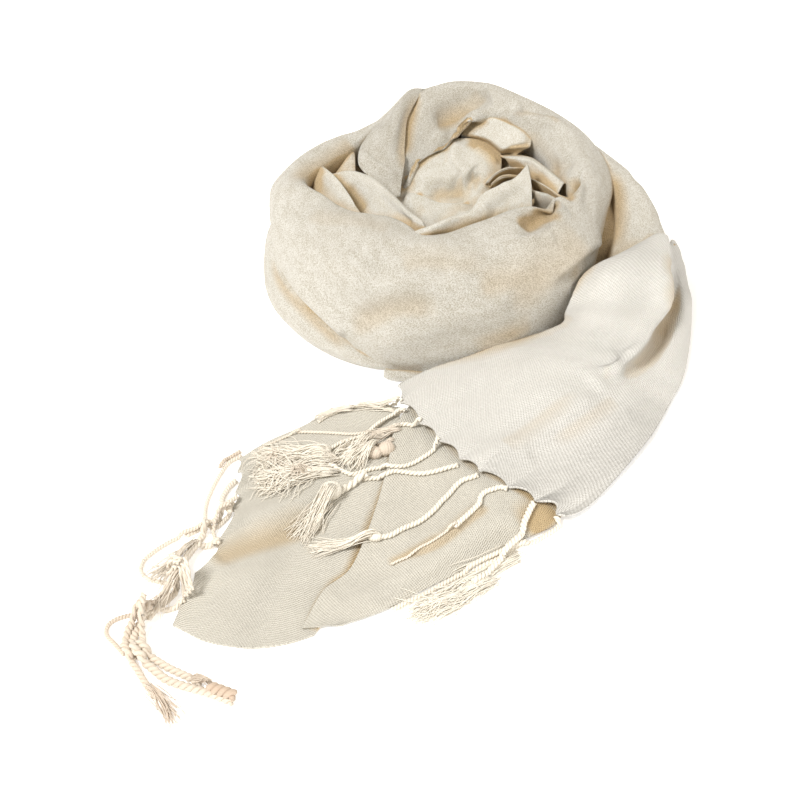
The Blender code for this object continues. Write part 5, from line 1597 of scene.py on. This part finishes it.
# A cord along the fold of the right-hand panel.
fold_cord = Yarn()
cord(fold_cord, [(60, -94), (56, -93), (52, -95), (48, -97), (45, -101), (44, -107), (40, -113),
                 (35, -119), (30, -125)], 1.5, 4.6)
cord(fold_cord, [(31, -124), (24, -129), (17, -135), (11, -139), (5, -144), (-1, -147),
                 (-5, -149)], 0.8, 4, 0.2)

# Loose yarn and three cords down the outer edge.
edge = Yarn()
brush(edge, (64, -134), (-1, -0.76), 40, 0.25, 120, rng, curl=0.7, rise=2, narrow=2.6, tint=-0.1)
brush(edge, (48, -153), (-1, -0.74), 36, 0.35, 180, rng, curl=1.4, rise=3, narrow=3.4, tint=-0.1)
brush(edge, (30, -168), (-1, -0.55), 28, 0.45, 150, rng, curl=2, rise=3, narrow=3.6, tint=-0.06)
cord(edge, [(67, -126), (62, -130), (57, -134), (52, -139), (47, -142), (40, -148)], 1.6, 5)
cord(edge, [(87, -108), (89, -111), (86, -115), (81, -119), (75, -124), (67, -128), (60, -132),
            (52, -137), (44, -142), (36, -148), (28, -154), (20, -160), (12, -166), (4, -171),
            (-4, -177)], 1.5, 4.4, 0.1)
cord(edge, [(75, -102), (73, -106), (71, -111), (69, -116), (68, -121), (66, -126), (62, -131),
            (58, -136), (53, -143), (47, -150), (40, -157)], 1.8, 5.4)

upper_end = (upper_back, tuft, upper_mid, upper_front, fold_cord, edge)
print("upper end:", sum(len(bunch.tints) for bunch in upper_end), "yarns")

# %% [markdown]
# ## The lower end's tassels
# These hang from the end panel onto the table, and they are given a browner tint.
# Their cords cross and bundle: each is laid over those before it.

# %% The lower tassels
# Cords that loop over one another at the left.
left = Yarn(browner=0.22)
cord(left, [(-92, -52), (-99, -58), (-104, -70), (-108, -84), (-110, -97), (-109, -107), (-104, -113),
            (-98, -106), (-94, -96)], 1.3, 3.8)
cord(left, [(-94, -74), (-98, -80), (-101, -91), (-98, -99), (-95, -104)], 1.8, 4.4)
cord(left, [(-93, -48), (-100, -55), (-104, -64)], 1.3, 3.8, 0.3)
cord(left, [(-92, -94), (-98, -102), (-104, -109), (-111, -113), (-119, -119)], 1.5, 4.2)
cord(left, [(-95, -103), (-102, -107), (-104, -117), (-101, -127)], 1.2, 3.8, 0.1)
cord(left, [(-108, -113), (-120, -119), (-129, -125), (-136, -132), (-141, -139), (-142, -147),
            (-138, -153), (-130, -156), (-122, -157)], 1.3, 3.8)
cord(left, [(-108, -115), (-112, -125), (-117, -136), (-121, -147), (-122, -156)], 2, 5, 0.05)
cord(left, [(-100, -128), (-110, -129), (-116, -137), (-119, -149), (-120, -158)], 2, 5)
brush(left, (-115, -130), (-0.75, -1), 32, 0.7, 70, rng, curl=0.8, rise=3.5, narrow=2)
cord(left, [(-118, -158), (-124, -168), (-131, -177), (-135, -184)], 1.9, 5)
cord(left, [(-116, -173), (-124, -177), (-131, -180), (-137, -184)], 1.6, 4.6)
brush(left, (-120, -158), (-0.65, -1), 30, 0.45, 60, rng, curl=0.8, rise=3, narrow=1.8, tint=0.08)
for shift in (-1.6, 0.0, 1.6):
    cord(left, [(-126 + shift, -150), (-124 + shift, -155 - shift), (-119 + shift, -160)], 1.3, 6)
    cord(left, [(-117 + shift, -160), (-115 + shift, -166), (-113 + shift, -173)], 1.3, 6)

# The bundle in the front corner, which is the brownest.
bundle = Yarn(browner=0.38)
cord(bundle, [(-131, -179), (-139, -180), (-148, -182), (-155, -187), (-156, -195), (-151, -202),
              (-145, -210)], 1.3, 3.8, 0.1)
cord(bundle, [(-133, -182), (-138, -188), (-141, -197), (-141, -207), (-138, -213)], 2.4, 6, 0.05)
cord(bundle, [(-136, -182), (-142, -190), (-145, -200), (-144, -210)], 2, 5.6, 0.1)
cord(bundle, [(-136, -182), (-137, -192), (-136, -202), (-136, -210)], 1.9, 5.6)
cord(bundle, [(-145, -209), (-138, -220), (-132, -231), (-126, -240)], 2, 6.4, 0.1)
cord(bundle, [(-138, -208), (-130, -213), (-121, -220), (-111, -226), (-103, -231)], 2.2, 6.8)
cord(bundle, [(-140, -211), (-131, -219), (-122, -228), (-112, -233), (-101, -237), (-92, -241),
              (-86, -244)], 2.4, 7)
cord(bundle, [(-98, -238), (-91, -241), (-85, -244)], 2.9, 7, 0.45)
brush(bundle, (-128, -236), (0.75, -1), 24, 0.5, 60, rng, curl=1, rise=3, tint=0.15, narrow=1.6)
brush(bundle, (-106, -229), (1, -0.45), 12, 0.6, 40, rng, curl=1.2, rise=3, tint=0.12, narrow=1.6)

print("lower end:", len(left.tints) + len(bundle.tints), "yarns")

# %% The tassels' pieces
fringes = {
    "fringe_upper_back": upper_back,
    "fringe_tuft": tuft,
    "fringe_upper_mid": upper_mid,
    "fringe_upper_front": upper_front,
    "fringe_fold": fold_cord,
    "fringe_edge": edge,
    "fringe_left": left,
    "fringe_bundle": bundle,
}
for label, yarn in fringes.items():
    yarn.piece(label + "_yarn", fringe_yarn, [label])

# %% [markdown]
# ## How deep in a fold each point is
# From each point of a sheet we look out in a few directions. Where most of them are stopped by other cloth
# close by, the point is deep in a fold, and its colour gets more painted shade. This is measured on a sparse
# grid, and blended to the points between.

# %% Looking out from the cloth
SIGHT = 34.0  # mm: cloth further off than this shades nothing
START_OFF = 0.9  # mm off the cloth where each look starts
FAR_LOSS = 0.6  # what cloth at the end of sight counts less by
LOOKS = 20  # directions to look in
EVERY = 4  # a look from every fourth point or so


def unit_directions(count):
    """Evenly spread directions over the half ball above a face."""
    k = np.arange(count) + 0.5
    z = 1 - k / count
    ring = np.sqrt(1 - z * z)
    around = np.pi * (1 + 5**0.5) * k  # steps of the golden angle, which never line up
    return np.stack([ring * np.cos(around), ring * np.sin(around), z], axis=1)


def blend_up(coarse, rows, columns):
    """A coarse grid of values blended up to rows by columns."""
    i = np.linspace(0, coarse.shape[0] - 1.0001, rows)
    j = np.linspace(0, coarse.shape[1] - 1.0001, columns)
    i0 = i.astype(int)
    j0 = j.astype(int)
    fi = (i - i0)[:, None]
    fj = (j - j0)[None, :]
    near = coarse[:, j0]
    far = coarse[:, j0 + 1]
    return blend(near[i0], near[i0 + 1], far[i0], far[i0 + 1], fi, fj)


def shut_in(grid, out, around, directions):
    """How far the cloth around closes each point of a grid in, from 0 in the open to 1."""
    rows, columns = grid.shape[:2]
    rows_at = np.unique(np.linspace(0, rows - 1, max(rows // EVERY, EVERY)).astype(int))
    columns_at = np.unique(np.linspace(0, columns - 1, max(columns // EVERY, EVERY)).astype(int))
    shut = np.zeros((len(rows_at), len(columns_at)))
    for a, i in enumerate(rows_at):
        for b, j in enumerate(columns_at):
            up = Vector(out[i, j])
            turned = up.to_track_quat("Z", "Y")
            start = Vector(grid[i, j]) + up * START_OFF
            for direction in directions:
                hit = around.ray_cast(start, turned @ Vector(direction), SIGHT)
                if hit[0] is not None:
                    shut[a, b] += 1 - FAR_LOSS * hit[3] / SIGHT
    return blend_up(shut / len(directions), rows, columns)


print("looking", LOOKS, "ways, up to", SIGHT, "mm")

# %% Measuring the folds
# These turn how shut in a point is into its painted shade.
OPEN_SHARE = 0.2  # even an open face sees this much cloth
FOLD_GAIN = 2.0  # past that, the glow grows twice as fast

all_cloth = tree_of([grid[::3, ::3] for piece, grid, out, hollow in sheets])
directions = unit_directions(LOOKS)
for piece, grid, out, hollow in sheets:
    shut = shut_in(grid, out, all_cloth, directions)
    # The fold value is the painted shade that each point's colour gets.
    fold = np.maximum(shut - OPEN_SHARE, 0) * FOLD_GAIN + hollow
    keep_value(piece.data, "fold", fold.ravel())
print("folds measured on", len(sheets), "sheets")

# %% [markdown]
# ## The layers inside
# Under the sheets that show, the real stole has many more turns and folds. They are packed close, so they are
# one rounded body in each place, just inside the sheets. In the coil it is the frame's own solid drawn in a
# little. Under the ends it follows the sheet above it. Where they show through a gap they carry the full
# painted shade of a deep fold.

# %% A body of layers
# Painted shade: the layers take a fold value that tints them the full ochre of a deep fold.
DEEP = 0.9  # fold value of the layers: no light reaches them
DRAWN_IN = 0.0015  # metres that the coil's layers are drawn in by
TABLE_GAP = 0.2  # mm between the layers and the table
LEAST_TOP = 1.0  # mm: no layers' top is lower than this
SPARSE = 6  # the layers take every sixth point of the sheet above


def layers(name, points, faces, label):
    """A closed body of packed layers, in mm, that stands for one of the frame's cores, in full painted shade.
    """
    points = np.asarray(points, float)
    mesh = bpy.data.meshes.new(name)
    mesh.from_pydata(to_frame(points).tolist(), [], faces)
    lay_cloth_map(mesh, np.column_stack([points[:, 0] + points[:, 2], points[:, 1]]))
    keep_value(mesh, "fold", np.full(len(points), DEEP))
    print(f"{name}: {len(faces)} faces")
    return stand_in(name, mesh, brushed_cloth, [label])


def laid_layers(name, sheet_piece, label, clear, first, last):
    """Layers under a laid sheet, between two shares of its length, on a flat underside."""
    grid, out = next((grid, out) for piece, grid, out, hollow in sheets if piece == sheet_piece)
    rows = len(grid)
    inner = (grid - out * clear)[int(first * rows):int(last * rows):SPARSE, SPARSE:-SPARSE:SPARSE].copy()
    inner[..., 2] = np.maximum(inner[..., 2], LEAST_TOP)
    under = inner[:, ::-1].copy()
    under[..., 2] = TABLE_GAP
    ring = np.concatenate([inner, under], axis=1)
    count, around = ring.shape[:2]
    faces = []
    for i in range(count - 1):
        for j in range(around):
            here = i * around
            after = (j + 1) % around
            faces.append((here + j, here + after, here + around + after, here + around + j))
    faces.append(tuple(range(around))[::-1])
    faces.append(tuple((count - 1) * around + j for j in range(around)))
    return layers(name, ring.reshape(-1, 3), faces, label)


print(f"layers under a sheet take every {SPARSE}th point of it")

# %% The layers inside
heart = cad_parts["coil_core"]
to_scene = heart.matrix_world
heart_points = [to_scene @ (vertex.co - vertex.normal * DRAWN_IN) for vertex in heart.data.vertices]
heart_points = np.array([tuple(point) for point in heart_points]) / MM + ORIGIN
heart_points[:, 2] = np.maximum(heart_points[:, 2], TABLE_GAP)
heart_faces = [tuple(face.vertices) for face in heart.data.polygons]
inner_layers = [layers("coil_layers_cloth", heart_points, heart_faces, "coil_core")]
for name, sheet_piece, label, clear, first, last in (
    # piece, sheet above it, solid, gap to the sheet (mm), from and to share of its length
    ("tail_layers_cloth", tail_top, "tail_core", 3.0, 0.04, 0.72),
    ("under_layers_cloth", under_panel, "under_core", 2.2, 0.04, 0.96),
    ("end_layers_cloth", end_panel, "end_core", 2.2, 0.04, 0.92),
):
    inner_layers.append(laid_layers(name, sheet_piece, label, clear, first, last))
